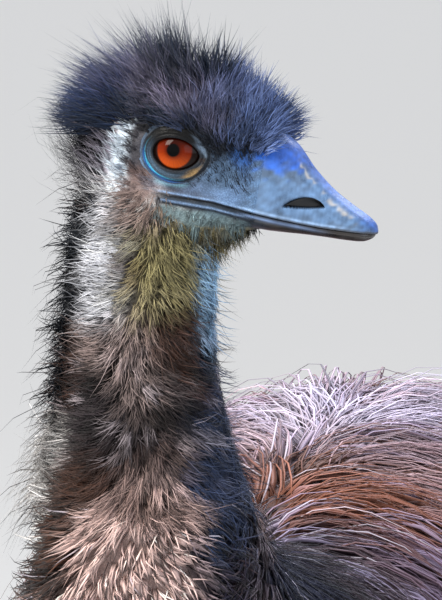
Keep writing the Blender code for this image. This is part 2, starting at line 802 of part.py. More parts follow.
def leg_point(share, angle, side, step, grow=0.0):
    """A point of a leg's surface at a share of its line. Angle 0 is the left side."""
    centre, half, down = leg_frame(share, side, step)
    across = Vector((1.0, 0.0, 0.0))
    depth = 1.22 - 0.16 * ease(share, 0.5, 0.75)
    return (
        centre
        + across * (half + grow) * math.cos(angle)
        + across.cross(down) * (half * depth + grow) * math.sin(angle)
    )


def leg_rings(start, end, count, sides, side, step):
    shares = [start + (end - start) * i / (count - 1) for i in range(count)]
    return [
        [leg_point(share, math.tau * j / sides, side, step) for j in range(sides)]
        for share in shares
    ]


def foot_ring(place, heading, half_width, height, sides=9):
    """An upright ring across a toe, flat where it rests on the floor."""
    across = Vector((math.cos(heading), math.sin(heading), 0.0))
    ring = []
    for i in range(sides):
        angle = math.tau * i / sides
        up = max(0.0, height * (0.44 + 0.56 * math.sin(angle)))
        ring.append(Vector((place.x, place.y, 0.0)) + across * half_width * math.cos(angle)
                    + Vector((0.0, 0.0, up)))
    return ring


def make_toe(name, root, heading, length, half_width, height, skins):
    """One toe with its pads and its claw, from the root's upright face forward."""
    onward = Vector((math.sin(heading), -math.cos(heading), 0.0))
    count = 7
    rings = []
    for i in range(count):
        t = i / (count - 1)
        pad = 1.0 + 0.07 * math.cos(math.tau * 3 * t)
        slim = 1.0 - 0.42 * t
        rings.append(foot_ring(
            root + onward * length * t, heading, half_width * slim * pad, height * slim * pad
        ))
    toe = loft(rings, name, skins["scales"])
    start = root + onward * (length + GAP)
    claw_rings = []
    for i in range(5):
        t = i / 5
        claw_rings.append(foot_ring(
            start + onward * CLAW_LENGTH * t, heading,
            half_width * 0.50 * (1 - t) ** 0.7, height * 0.50 * (1 - 0.9 * t * t) * (1 - t) ** 0.4, 8
        ))
    tip = start + onward * CLAW_LENGTH
    claw_rings.append([Vector((tip.x, tip.y, 0.0015))])
    return toe, loft(claw_rings, name.replace("toe", "claw"), skins["claw"])


def make_leg(label, side, step, torso_grown, skins):
    """A leg: the feathered thigh, the shank with the hock, the tarsus, the foot and its toes."""
    made = {}
    slit = GAP / 2 / LEG_LENGTH
    thigh = loft(leg_rings(0.0, THIGH_END - slit, 8, 16, side, step), f"thigh_{label}", skins["coat"])
    apply_boolean(thigh, "DIFFERENCE", [torso_grown])
    made[thigh.name] = thigh
    made[f"shank_{label}"] = loft(
        leg_rings(THIGH_END + slit, SHANK_END - slit, 7, 12, side, step), f"shank_{label}", skins["scales"]
    )
    tarsus_rings = leg_rings(SHANK_END + slit, 1.0, 9, 12, side, step)
    made[f"tarsus_{label}"] = loft(tarsus_rings, f"tarsus_{label}", skins["scales"])
    centre, _, _ = leg_frame(1.0, side, step)
    ankle = min(p.z for p in tarsus_rings[-1]) - GAP
    middle = Vector((centre.x, centre.y, 0.0))
    foot_rings = []
    for height, swell in ((ankle, 0.80), (ankle * 0.6, 1.0), (ankle * 0.25, 1.02), (0.0, 0.92)):
        foot_rings.append([
            middle + Vector((
                FOOT_HALF * swell * math.cos(math.tau * j / 12),
                FOOT_HALF * swell * math.sin(math.tau * j / 12),
                height,
            ))
            for j in range(12)
        ])
    foot = loft(foot_rings, f"foot_{label}", skins["scales"])
    knuckles = []
    for angle, _, half_width, height in TOES.values():
        heading = math.radians(angle) * side
        onward = Vector((math.sin(heading), -math.cos(heading), 0.0))
        knuckles.append(loft([
            foot_ring(middle + onward * TOE_ROOT * t, heading, half_width * 1.07, height * 1.07)
            for t in (0.15, 0.6, 1.0)
        ], "knuckle", None))
    apply_boolean(foot, "UNION", knuckles)
    made[foot.name] = foot
    for toe_name, (angle, length, half_width, height) in TOES.items():
        heading = math.radians(angle) * side
        onward = Vector((math.sin(heading), -math.cos(heading), 0.0))
        root = middle + onward * (TOE_ROOT + GAP)
        toe, claw = make_toe(
            f"toe_{toe_name}_{label}", root, heading, length, half_width, height, skins
        )
        made[toe.name], made[claw.name] = toe, claw
    return made


def wing_rings(side):
    """Rings of the small wing, laid along the flank from the shoulder back and down."""
    rings = []
    for i in range(9):
        t = i / 8
        share = WING_SHOULDER + (WING_TIP - WING_SHOULDER) * t
        angle = side * math.radians(WING_ANGLE + WING_DROP * t)
        centre = body_point(share, angle, WING_HALF * 0.35)
        out = (body_point(share, angle, 0.05) - body_point(share, angle)).normalized()
        ahead = body_point(share - 0.01, angle) - body_point(share, angle)
        up = out.cross(ahead).normalized()
        size = WING_HALF * (0.75 + 0.6 * math.sin(math.pi * (0.15 + 0.6 * t))) * (1 - t**4) ** 0.5
        if i == 8:
            rings.append([centre])
        else:
            rings.append([
                centre + up * size * WING_DEEP * math.cos(math.tau * j / 10)
                + out * size * math.sin(math.tau * j / 10)
                for j in range(10)
            ])
    return rings


def trunk_grown(grow):
    """The torso's form made a little larger, as a cutter for what lies against it."""
    start, end = TAIL_END, TORSO_END
    shares = [start + (end - start) * i / (TORSO_RINGS - 1) for i in range(TORSO_RINGS)]
    return loft([body_ring(s, TORSO_SIDES, grow) for s in shares], "torso_grown", None)


def stand_on_origin(parts):
    """Moves the bird so that the middle of its box is over the origin."""
    places = [v.co for part in parts.values() for v in part.data.vertices]
    middle = [(min(p[k] for p in places) + max(p[k] for p in places)) / 2 for k in (0, 1)]
    for part in parts.values():
        part.data.transform(Matrix.Translation((-middle[0], -middle[1], 0.0)))


def main():
    for old in list(bpy.data.objects):
        bpy.data.objects.remove(old)
    skins = finishes()
    parts = make_trunk(skins)
    head = make_head(skins)
    parts.update(make_eyes(skins, head))
    parts["head"] = head
    parts.update(make_bill(skins))
    nostrils(parts["bill_upper"])
    head_grown = loft(head_rings(grow=2 * GAP), "head_grown", None)
    apply_boolean(parts["neck_upper"], "DIFFERENCE", [head_grown])
    for label, side, step in (("left", 1, -STRIDE / 2), ("right", -1, STRIDE / 2)):
        parts.update(make_leg(label, side, step, trunk_grown(3 * GAP), skins))
        wing = loft(wing_rings(side), f"wing_{label}", skins["coat"])
        apply_boolean(wing, "DIFFERENCE", [trunk_grown(3 * GAP)])
        parts[wing.name] = wing
    draws = {name: random.Random(seed) for name, seed in SEEDS.items()}
    fuse_locks(head, crest_makers(draws["head"]), parts)
    for label, side, step in (("left", 1, -STRIDE / 2), ("right", -1, STRIDE / 2)):
        fuse_locks(parts[f"thigh_{label}"], thigh_makers(side, step, draws["thigh"]), parts)
        fuse_locks(parts[f"wing_{label}"], wing_makers(side, draws["wing"]), parts)
    for name in COAT_LOCKS:
        fuse_locks(parts[name], coat_makers(name, draws[name]), parts)
    stand_on_origin(parts)


if __name__ == "__main__":
    main()
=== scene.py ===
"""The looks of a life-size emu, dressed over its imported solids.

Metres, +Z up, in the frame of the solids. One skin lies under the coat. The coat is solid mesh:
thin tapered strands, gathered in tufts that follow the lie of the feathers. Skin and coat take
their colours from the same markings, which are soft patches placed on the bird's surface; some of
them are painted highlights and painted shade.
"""

import logging
import math
from dataclasses import dataclass, field
from enum import Enum
from typing import Any, Callable

import bmesh
import bpy
import numpy as np
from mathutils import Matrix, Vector


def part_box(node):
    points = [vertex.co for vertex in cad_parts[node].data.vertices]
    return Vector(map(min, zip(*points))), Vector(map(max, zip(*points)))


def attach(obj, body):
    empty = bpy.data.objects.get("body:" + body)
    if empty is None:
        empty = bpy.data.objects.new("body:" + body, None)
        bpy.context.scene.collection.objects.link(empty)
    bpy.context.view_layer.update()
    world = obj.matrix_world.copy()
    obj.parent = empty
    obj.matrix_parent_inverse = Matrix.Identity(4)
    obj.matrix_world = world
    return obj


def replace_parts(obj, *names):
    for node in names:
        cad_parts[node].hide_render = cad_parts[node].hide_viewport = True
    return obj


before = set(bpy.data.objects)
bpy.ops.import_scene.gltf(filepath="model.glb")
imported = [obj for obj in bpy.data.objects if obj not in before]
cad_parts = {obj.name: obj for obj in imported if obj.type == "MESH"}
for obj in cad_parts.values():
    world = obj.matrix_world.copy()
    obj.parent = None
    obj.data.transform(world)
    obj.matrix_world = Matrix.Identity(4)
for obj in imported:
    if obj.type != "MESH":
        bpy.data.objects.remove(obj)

Array = np.ndarray
BAKE_MAP = "OFBake"
MARKING = "marking"
# The step along or round a surface from which its directions are found.
NEAR = 0.002
# A tuft's patch on the unwrap of the skin, and the most triangles that one piece may have.
PATCH = 0.003
PIECE_TRIANGLES = 190_000

# The trunk and neck, from the tail's tip forward and up: y, z, half width, half depth, x.
BODY_STATIONS = np.array((
    (0.440, 0.778, 0.026, 0.026, 0.000),
    (0.370, 0.824, 0.074, 0.068, 0.000),
    (0.270, 0.862, 0.132, 0.128, 0.000),
    (0.130, 0.886, 0.182, 0.182, 0.000),
    (-0.020, 0.886, 0.192, 0.187, 0.000),
    (-0.160, 0.890, 0.174, 0.172, 0.000),
    (-0.270, 0.920, 0.138, 0.136, 0.000),
    (-0.345, 0.975, 0.102, 0.103, -0.003),
    (-0.388, 1.040, 0.070, 0.071, -0.006),
    (-0.402, 1.110, 0.050, 0.051, -0.008),
    (-0.402, 1.180, 0.037, 0.038, -0.010),
    (-0.398, 1.250, 0.031, 0.035, -0.009),
    (-0.396, 1.290, 0.026, 0.028, -0.004),
))
NECK_TOP = 0.985
TWIST_FROM, TWIST_TO, NECK_TWIST = 0.700, 0.880, math.radians(88)

# The head's own frame has its origin between the eyes, x to the bill's tip and z up.
HEAD_CENTRE = np.array((0.014, -0.398, 1.300))
HEAD_PITCH = math.radians(8.2)
# x, top, bottom, half width, height of the widest place
HEAD_STATIONS = np.array((
    (-0.050, 0.000, -0.014, 0.008, -0.006),
    (-0.045, 0.015, -0.036, 0.018, -0.006),
    (-0.032, 0.026, -0.056, 0.027, -0.006),
    (-0.016, 0.031, -0.062, 0.0305, -0.005),
    (0.000, 0.0325, -0.059, 0.0320, -0.004),
    (0.016, 0.0300, -0.051, 0.0310, -0.008),
    (0.032, 0.0245, -0.0425, 0.0285, -0.014),
    (0.043, 0.0195, -0.0388, 0.0258, -0.018),
    (0.0485, 0.0172, -0.0374, 0.0247, -0.020),
))
HEAD_POWER = 2.15
# x, culmen, mouth line, chin, half width
BILL_STATIONS = np.array((
    (0.0440, 0.0188, -0.0266, -0.0370, 0.0243),
    (0.0520, 0.0150, -0.0272, -0.0370, 0.0232),
    (0.0600, 0.0098, -0.0280, -0.0366, 0.0208),
    (0.0700, -0.0008, -0.0288, -0.0359, 0.0178),
    (0.0820, -0.0104, -0.0293, -0.0354, 0.0149),
    (0.0940, -0.0172, -0.0293, -0.0352, 0.0120),
    (0.1030, -0.0216, -0.0292, -0.0344, 0.0090),
    (0.1075, -0.0250, -0.0293, -0.0322, 0.0050),
    (0.1088, -0.0282, -0.0296, -0.0306, 0.0012),
))
GAPE_CORNER = (-0.007, -0.0235)
EYE_RADIUS = 0.0165
EYE_OFFSET = 0.0187
LID_OPENING, LID_CENTRE = (0.0126, 0.0086), (0.0006, -0.0007)
EAR_PLACE, EAR_SIZE = (-0.029, -0.016), (0.0050, 0.0040)
NOSTRIL_PLACE, NOSTRIL_SIZE = (0.0700, -0.0181), (0.0108, 0.0036)

# The legs: y, z and half thickness down each leg's line; x is the half distance between them.
LEG_STATIONS = np.array((
    (-0.006, 0.800, 0.070),
    (0.020, 0.690, 0.066),
    (0.050, 0.590, 0.047),
    (0.078, 0.500, 0.028),
    (0.096, 0.440, 0.024),
    (0.094, 0.405, 0.0245),
    (0.082, 0.350, 0.0175),
    (0.066, 0.240, 0.0150),
    (0.052, 0.130, 0.0160),
    (0.042, 0.062, 0.0205),
))
LEG_SPREAD, LEG_LEAN, LEG_LENGTH = 0.098, 0.026, 0.75
THIGH_END, SHANK_END = 0.395, 0.573
STRIDE = 0.030
FOOT_HALF, TOE_ROOT, CLAW_LENGTH = 0.026, 0.050, 0.026
# Each toe: degrees outward from straight ahead, length, half width and height at its root.
TOES = ((-36.0, 0.056, 0.0130, 0.029), (0.0, 0.094, 0.0160, 0.033), (36.0, 0.060, 0.0130, 0.029))


def unit(vectors: Array) -> Array:
    """Vectors scaled to length 1."""
    return vectors / np.maximum(np.linalg.norm(vectors, axis=-1, keepdims=True), 1e-12)


def ease(value: Array, low: float, high: float) -> Array:
    """0 below low, 1 above high, and smooth between."""
    t = np.clip((np.asarray(value, float) - low) / (high - low), 0.0, 1.0)
    return t * t * (3 - 2 * t)


def bump(value: Array, centre: float, reach: float) -> Array:
    """A smooth rise to 1 at a centre, and near 0 past twice the reach."""
    return np.exp(-(((np.asarray(value, float) - centre) / reach) ** 2))


def smooth_between(table: Array, share: Array) -> Array:
    """Rows of numbers on a smooth curve through a table's rows.

    Args:
        table: the rows, which lie apart by their first two columns.
        share: places as shares of the table's length, from 0 to 1.

    Returns:
        One row for each share.
    """
    share = np.asarray(share, float)
    steps = np.concatenate(([0.0], np.cumsum(np.hypot(*np.diff(table[:, :2], axis=0).T))))
    place = np.clip(share, 0.0, 1.0) * steps[-1]
    index = np.clip(np.searchsorted(steps, place, "right") - 1, 0, len(table) - 2)
    span = (steps[index + 1] - steps[index])[..., None]
    t = (place[..., None] - steps[index][..., None]) / span
    rows = np.arange(len(table))
    low, high = np.maximum(rows - 1, 0), np.minimum(rows + 1, len(table) - 1)
    slopes = (table[high] - table[low]) / (steps[high] - steps[low])[:, None]
    return (
        table[index] * (2 * t**3 - 3 * t**2 + 1) + slopes[index] * span * (t**3 - 2 * t**2 + t)
        + table[index + 1] * (3 * t**2 - 2 * t**3) + slopes[index + 1] * span * (t**3 - t**2)
    )


def mottle(points: Array, size: float, seed: int) -> Array:
    """Soft seeded noise from -1 to 1 over points, with features of about a size in metres."""
    draw = np.random.default_rng(seed)
    total = np.zeros(points.shape[:-1])
    for _ in range(9):
        way = unit(draw.normal(size=3)) * math.tau / (size * draw.uniform(1.2, 3.2))
        total += np.sin(points @ way + draw.uniform(0, math.tau))
    return np.clip(total / 4.2, -1.0, 1.0)


def linear(code: str) -> Array:
    """The linear red, green and blue of an sRGB hex colour."""
    value = np.array([int(code[i:i + 2], 16) for i in (1, 3, 5)]) / 255
    return np.where(value <= 0.04045, value / 12.92, ((value + 0.055) / 1.055) ** 2.4)


def head_to_world(points: Array) -> Array:
    """Points of the head's own frame, placed on the bird."""
    cos, sin = math.cos(HEAD_PITCH), math.sin(HEAD_PITCH)
    turn = np.array(((cos, 0.0, sin), (0.0, 1.0, 0.0), (-sin, 0.0, cos)))
    return HEAD_CENTRE + np.asarray(points, float) @ turn.T


def frame_shift() -> Array:
    """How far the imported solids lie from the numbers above, which is seen at the right eye."""
    low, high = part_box("eye_right")
    return np.array((low + high) / 2) - head_to_world((0.0, -EYE_OFFSET, 0.0))


SHIFT = frame_shift()


@dataclass(frozen=True)
class Patch:
    """A soft-edged patch of colour on a surface.

    Its place and reach are in the two coordinates of the surface that it marks.
    """

    place: tuple[float, float]
    reach: tuple[float, float]
    colour: str
    strength: float = 1.0
    soft: float = 0.45
    ragged: float = 0.35

    def lay(self, ground: Array, first: Array, second: Array, noise: Array) -> Array:
        """Paints the patch over a ground.

        Args:
            ground: the colours so far.
            first: the surface's first coordinate.
            second: its second coordinate.
            noise: seeded noise that makes the edge ragged.

        Returns:
            The colours with the patch on them.
        """
        off = np.hypot((first - self.place[0]) / self.reach[0], (second - self.place[1]) / self.reach[1])
        share = self.strength * (1 - ease(off + noise * self.ragged, 1 - self.soft, 1 + self.soft))
        return ground + (linear(self.colour) - ground) * share[..., None]




class Form:
    """A surface of the bird, known by a share along a line and an angle round it."""

    rect: tuple[float, float, float, float] = (0.0, 0.0, 1.0, 1.0)

    def point(self, share: Array, angle: Array, grow: Array | float = 0.0) -> Array:
        """Points of the surface, grown outward by a distance."""
        raise NotImplementedError

    def hair_way(self, share: Array, angle: Array) -> Array:
        """Radians by which a feather turns from the way down the line, away from angle 0."""
        return np.zeros_like(share)

    def unwrap(self, share: Array, angle: Array) -> Array:
        """Places on the unwrap of the skin, in this form's own rectangle of it."""
        low_u, low_v, high_u, high_v = self.rect
        u = (angle / math.tau) % 1.0
        return np.stack((low_u + u * (high_u - low_u), low_v + np.clip(share, 0, 1) * (high_v - low_v)), -1)

    def axes(self, share: Array, angle: Array) -> tuple[Array, Array, Array, Array]:
        """The surface's own directions.

        Args:
            share: shares along the form's line.
            angle: angles round it.

        Returns:
            The points, the way out, and the vectors of one share down the line and one radian round.
        """
        here = self.point(share, angle)
        down = (here - self.point(share + NEAR, angle)) / NEAR
        onward = (self.point(share, angle + NEAR) - here) / NEAR
        out = unit(np.cross(onward, down))
        lifted = self.point(share, angle, 0.004) - here
        out *= np.sign((out * lifted).sum(-1, keepdims=True))
        return here, out, down, onward


class TrunkForm(Form):
    """The trunk, tail and neck in one, from the tail's tip to inside the skull."""

    rect = (0.01, 0.01, 0.99, 0.48)
    skin_depth = 0.002

    def frame(self, share: Array) -> tuple[Array, Array, Array, Array]:
        """Centres, sideways and dorsal directions, and (half width, half depth), at shares."""
        row = smooth_between(BODY_STATIONS, share)
        ahead = smooth_between(BODY_STATIONS, np.minimum(share + NEAR, 1.0))
        behind = smooth_between(BODY_STATIONS, np.maximum(share - NEAR, 0.0))
        zero = np.zeros_like(row[..., 0])
        forward = unit(np.stack((zero, ahead[..., 0] - behind[..., 0], ahead[..., 1] - behind[..., 1]), -1))
        turn = (NECK_TWIST * ease(share, TWIST_FROM, TWIST_TO))[..., None]
        across = np.zeros_like(forward)
        across[..., 0] = 1.0
        side = across * np.cos(turn) + np.cross(forward, across) * np.sin(turn)
        centre = np.stack((row[..., 4], row[..., 0], row[..., 1]), -1)
        return centre, side, np.cross(forward, side), row[..., 2:4]

    def point(self, share: Array, angle: Array, grow: Array | float = 0.0) -> Array:
        """Points of the trunk. Angle 0 is the dorsal line, and positive is the bird's left."""
        centre, side, dorsal, halves = self.frame(share)
        off = np.abs(np.arctan2(np.sin(angle), np.cos(angle)))
        wing = ease(share, 0.38, 0.42) * (1 - ease(share, 0.56, 0.62))
        grow = grow + 0.009 * wing * bump(off, 1.50 - 1.2 * (share - 0.49), 0.11)
        wide = (halves[..., 0] + grow) * np.sin(angle)
        deep = (halves[..., 1] + grow) * np.cos(angle)
        return centre + side * wide[..., None] + dorsal * deep[..., None]

    def hair_way(self, share: Array, angle: Array) -> Array:
        """The lie of the feathers: parted down the back, and down the neck's side."""
        off = np.abs(np.arctan2(np.sin(angle), np.cos(angle)))
        rump = np.radians(18 + 54 * ease(share, 0.10, 0.62))
        body = rump * (1 - ease(off, 1.7, 2.6)) - 0.35 * ease(off, 2.2, 2.9) * ease(share, 0.55, 0.66)
        high = ease(share, 0.915, 0.955)
        nape = -math.radians(76) * (1 - ease(off - 0.28 * high, 1.00, 1.75))
        throat = (math.radians(52) - math.radians(34) * high) * ease(off, 1.65, 2.45)
        neck = ease(share, 0.68, 0.86)
        return (1 - neck) * body + neck * (nape + throat)

    def hang(self, share: Array, angle: Array) -> Array:
        """How far a feather rooted here leaves the body to hang straight down."""
        off = np.abs(np.arctan2(np.sin(angle), np.cos(angle)))
        flank = ease(off, 1.1, 1.8) * (1 - ease(off, 2.2, 2.6)) * (1 - ease(share, 0.50, 0.60))
        return np.maximum(flank, 0.85 * (1 - ease(share, 0.05, 0.22)) * ease(off, 0.2, 1.2))


class HeadForm(Form):
    """The skull with its cheeks and throat, from the back of the head to the bill's root."""

    rect = (0.01, 0.51, 0.49, 0.99)
    fine = 0.14
    brow_height = 0.0046

    def relief(self, x: Array, z: Array) -> Array:
        """How far the head's side stands out from its plain section.

        Args:
            x: lengths in the head's own frame.
            z: heights there.

        Returns:
            The heights of the brow, the hollow before the eye, the cheek and the fine folds.
        """
        line = 0.0128 - 0.12 * np.maximum(x - 0.008, 0) - 6.0 * np.maximum(x - 0.008, 0) ** 2
        brow = self.brow_height * bump(z, line, 0.0036) * bump(x, 0.002, 0.021)
        lores = -0.0028 * bump(x, 0.033, 0.011) * bump(z, -0.004, 0.010)
        cheek = 0.0012 * bump(x, -0.012, 0.012) * bump(z, -0.032, 0.009)
        folds = 0.00025 * mottle(np.stack((x, 0 * x, 1.6 * z), -1), 0.0035, 12)
        return brow + lores + cheek + folds

    def point(self, share: Array, angle: Array, grow: Array | float = 0.0) -> Array:
        """Points of the head in the bird's place. Angle 0 is the crown, positive the left."""
        return head_to_world(self.local(share, angle, grow))

    def local(self, share: Array, angle: Array, grow: Array | float = 0.0) -> Array:
        """Points of the head in its own frame."""
        row = smooth_between(HEAD_STATIONS, share)
        x, top, bottom, half, middle = (row[..., k] for k in range(5))
        across, up = np.sin(angle), np.cos(angle)
        reach = np.where(up > 0, top - middle, middle - bottom) + grow
        power = 2 / HEAD_POWER
        y = (half + grow) * np.copysign(np.abs(across) ** power, across)
        z = middle + reach * np.copysign(np.abs(up) ** power, up)
        x = x + 0 * y
        y = y + np.sign(y) * self.relief(x, z) * ease(np.abs(y), 0.004, 0.012)
        return np.stack((x, y, z), -1)

    def hair_way(self, share: Array, angle: Array) -> Array:
        """The face's feathers spread back and down from the corner of the mouth."""
        local = self.local(share, angle)
        x, z = local[..., 0] - GAPE_CORNER[0], local[..., 2] - GAPE_CORNER[1]
        below = np.arctan2(-z, -x - 0.004)
        below = np.where(below < -1.5, -0.5, below)
        return np.clip(below, -0.5, 1.35 + 0.35 * ease(x, 0.025, 0.050)) * (1 - 0.7 * ease(local[..., 2], 0.0, 0.02))

    def knots(self, share: Array) -> tuple[Array, Array]:
        """The angles between which the skin is finest, a little above and below the mouth."""
        middle = self.mouth_angle(share)
        return middle - self.fine, middle + self.fine

    def turn(self, u: Array, share: Array) -> Array:
        """The angle from the crown for a place round the sheet, finest along the mouth."""
        over, under = self.knots(share)
        half = 2 * np.minimum(u, 1 - u)
        angle = np.where(half < 0.48, over * half / 0.48, over + (under - over) * (half - 0.48) / 0.22)
        angle = np.where(half > 0.70, under + (math.pi - under) * (half - 0.70) / 0.30, angle)
        return np.where(u <= 0.5, angle, math.tau - angle)

    def unwrap(self, share: Array, angle: Array) -> Array:
        """Places on the unwrap, by the same spacing as the sheet's."""
        over, under = self.knots(share)
        off = np.abs(np.arctan2(np.sin(angle), np.cos(angle)))
        half = np.where(off < over, 0.48 * off / over, 0.48 + 0.22 * (off - over) / (under - over))
        half = np.where(off > under, 0.70 + 0.30 * (off - under) / (math.pi - under), half)
        return super().unwrap(share, math.tau * np.where(np.sin(angle) >= 0, half / 2, 1 - half / 2))

    def back(self, places: Array) -> Array:
        """Places on the bird, in the head's own frame."""
        cos, sin = math.cos(HEAD_PITCH), math.sin(HEAD_PITCH)
        turn = np.array(((cos, 0.0, sin), (0.0, 1.0, 0.0), (-sin, 0.0, cos)))
        return (places - HEAD_CENTRE) @ turn

    def wall(self, x: Array, z: Array) -> Array:
        """The half width of the head's side at a length and height in its own frame."""
        top, bottom, half, middle = (np.interp(x, HEAD_STATIONS[:, 0], HEAD_STATIONS[:, k]) for k in range(1, 5))
        reach = np.where(z > middle, top - middle, middle - bottom)
        off = np.clip(np.abs(z - middle) / reach, 0.0, 1.0)
        return half * (1 - off**HEAD_POWER) ** (1 / HEAD_POWER)

    def mouth_angle(self, share: Array) -> Array:
        """The angle from the crown at which the line of the mouth runs."""
        row = smooth_between(HEAD_STATIONS, share)
        line = mouth_height(row[..., 0])
        off = np.clip((row[..., 4] - line) / (row[..., 4] - row[..., 2]), 0.0, 1.0)
        return math.pi - np.arccos(off ** (HEAD_POWER / 2))


def mouth_height(x: Array) -> Array:
    """The height of the line of the mouth along the head's own x."""
    knots = np.concatenate(((GAPE_CORNER[0], 0.024), BILL_STATIONS[:-2, 0]))
    heights = np.concatenate(((GAPE_CORNER[1], -0.0238), BILL_STATIONS[:-2, 2]))
    return np.interp(x, knots, heights)


def bill_wall(x: Array, z: Array) -> Array:
    """The half width of the bill at a length and height of the head's own frame."""
    culmen, mouth, chin, half = (np.interp(x, BILL_STATIONS[:, 0], BILL_STATIONS[:, k]) for k in range(1, 5))
    over = np.clip((z - mouth) / (culmen - mouth), 0.0, 1.0) ** (1 / 1.15)
    under = np.clip((mouth - z) / (mouth - chin), 0.0, 1.0) ** (1 / 0.8)
    edges = 0.0005 * (bump(z, mouth + 0.0016, 0.0009) + bump(z, mouth - 0.0018, 0.0009))
    groove = 0.0010 * bump(z, mouth, 0.00045)
    return half * np.where(z > mouth, (1 - over**2) ** 0.475, 0.96 * (1 - under**2) ** 0.5) + edges - groove


@dataclass(frozen=True)
class LegForm(Form):
    """One leg's line, from the hip down to the ankle."""

    side: int
    step: float
    rect: tuple[float, float, float, float] = (0.5, 0.51, 0.7, 0.99)

    def point(self, share: Array, angle: Array, grow: Array | float = 0.0) -> Array:
        """Points of the leg. Angle 0 is the bird's left, and a right angle on is its back."""
        row = smooth_between(LEG_STATIONS, share)
        ahead = smooth_between(LEG_STATIONS, np.minimum(share + NEAR, 1.0))
        behind = smooth_between(LEG_STATIONS, np.maximum(share - NEAR, 0.0))
        zero = np.zeros_like(row[..., 0])
        down = unit(np.stack((zero, ahead[..., 0] - behind[..., 0], ahead[..., 1] - behind[..., 1]), -1))
        spread = self.side * (LEG_SPREAD - LEG_LEAN * (1 - ease(share, 0.0, 0.5)))
        centre = np.stack((spread, row[..., 0] + self.step * ease(share, 0.0, 1.0), row[..., 1]), -1)
        across = np.zeros_like(down)
        across[..., 0] = 1.0
        depth = 1.22 - 0.16 * ease(share, 0.5, 0.75)
        wide = (row[..., 2] + grow) * np.cos(angle)
        deep = (row[..., 2] * depth + grow) * np.sin(angle)
        return centre + across * wide[..., None] + np.cross(across, down) * deep[..., None]

    def axes(self, share: Array, angle: Array) -> tuple[Array, Array, Array, Array]:
        """As the form's, but down the leg, whose share grows toward the foot."""
        here, out, down, onward = super().axes(share, angle)
        return here, out, -down, onward




def nostril(x: Array, z: Array) -> tuple[Array, Array, Array]:
    """The leaf-shaped nostril.

    Args:
        x: lengths in the head's own frame.
        z: heights there.

    Returns:
        The place along the leaf from -1 to 1, its upper edge, and 1 inside it and 0 outside.
    """
    arch = (x - NOSTRIL_PLACE[0]) / NOSTRIL_SIZE[0]
    bow = np.clip(1 - arch**2, 0, 1)
    low = NOSTRIL_PLACE[1] - 0.0018 + 0.0011 * arch - 0.0008 * bow
    high = NOSTRIL_PLACE[1] - 0.0018 + 0.0011 * arch + 0.0056 * bow ** 0.75
    return arch, high, ease(np.minimum(z - low, high - z), -0.0003, 0.0009) * (np.abs(arch) < 1.05)


@dataclass(frozen=True)
class BillMarks:
    """The colours of the bill, which the skin takes over where it meets the horn."""

    patches: tuple[Patch, ...] = (
        Patch((0.076, -0.014), (0.030, 0.012), "#56779E", 0.9, 0.7, 0.5),
        Patch((0.053, 0.006), (0.013, 0.0080), "#1A5AC0", 1.0, 0.6, 0.5),
        Patch((0.106, -0.0235), (0.006, 0.0045), "#2E5A94", 0.8, 0.6, 0.3),
    )

    def upper(self, local: Array) -> Array:
        """Colours of the upper bill at points of the head's own frame."""
        x, z = local[..., 0], local[..., 2]
        share = np.clip((x - 0.044) / 0.065, 0.0, 1.0)
        culmen = np.interp(x, BILL_STATIONS[:, 0], BILL_STATIONS[:, 1])
        mouth = mouth_height(x)
        noise = mottle(local, 0.003, 21)
        ground = np.broadcast_to(linear("#41556E"), (*x.shape, 3)).copy()
        for patch in self.patches:
            ground = patch.lay(ground, x, z, noise)
        crown = bump(culmen - z, 0.0, 0.0024) * ease(x, 0.048, 0.056)
        ground += (linear("#1A4C9E") - ground) * (0.80 * crown)[..., None]
        streak = bump(culmen - z, 0.0042 + 0.0012 * noise, 0.0013) * ease(x, 0.058, 0.066)
        streak *= (1 - ease(x, 0.094, 0.101)) * ease(noise, -0.6, 0.5)
        ground += (linear("#C9BFAE") - ground) * (0.55 * streak)[..., None]
        # A pale blue line on the edge ridge above the mouth: painted highlight.
        line = bump(z - mouth, 0.0017, 0.0007) * (1 - ease(x, 0.085, 0.098))
        ground += (linear("#93B4DC") - ground) * (0.6 * line)[..., None]
        # The dark strip down to the mouth line: painted shade in the groove where the bills meet.
        rim = (1 - ease(z - mouth, 0.0005, 0.0016)) * (0.6 + 0.4 * share)
        ground += (linear("#1C1816") - ground) * (0.9 * rim)[..., None]
        hole = ease(nostril(x, z)[2], 0.10, 0.75)
        ground += (linear("#8FA8C8") - ground) * (0.5 * bump(hole, 0.35, 0.25))[..., None]
        # Inside the nostril the horn is painted near black: painted shade in its hollow.
        ground += (linear("#070606") - ground) * hole[..., None]
        return ground * (1 + 0.22 * mottle(local, 0.0016, 23) * ease(x, 0.044, 0.060))[..., None]

    def lower(self, local: Array) -> Array:
        """Colours of the lower bill: dark horn with a blue-grey painted highlight along its edge toward its root."""
        x, z = local[..., 0], local[..., 2]
        noise = mottle(local * np.array((0.3, 1.0, 1.0)), 0.002, 22)
        ground = np.broadcast_to(linear("#262220"), (*x.shape, 3)).copy()
        # A blue-grey line along the edge ridge below the mouth: painted highlight.
        edge = bump(z - mouth_height(x), -0.0018, 0.0010) * (1 - ease(x, 0.062, 0.090))
        ground += (linear("#6F8CB8") - ground) * (0.6 * edge)[..., None]
        root = 1 - ease(x, 0.046, 0.058)
        ground += (linear("#2B333D") - ground) * (0.8 * root * (1 - edge))[..., None]
        return ground * (1 + 0.3 * noise)[..., None]


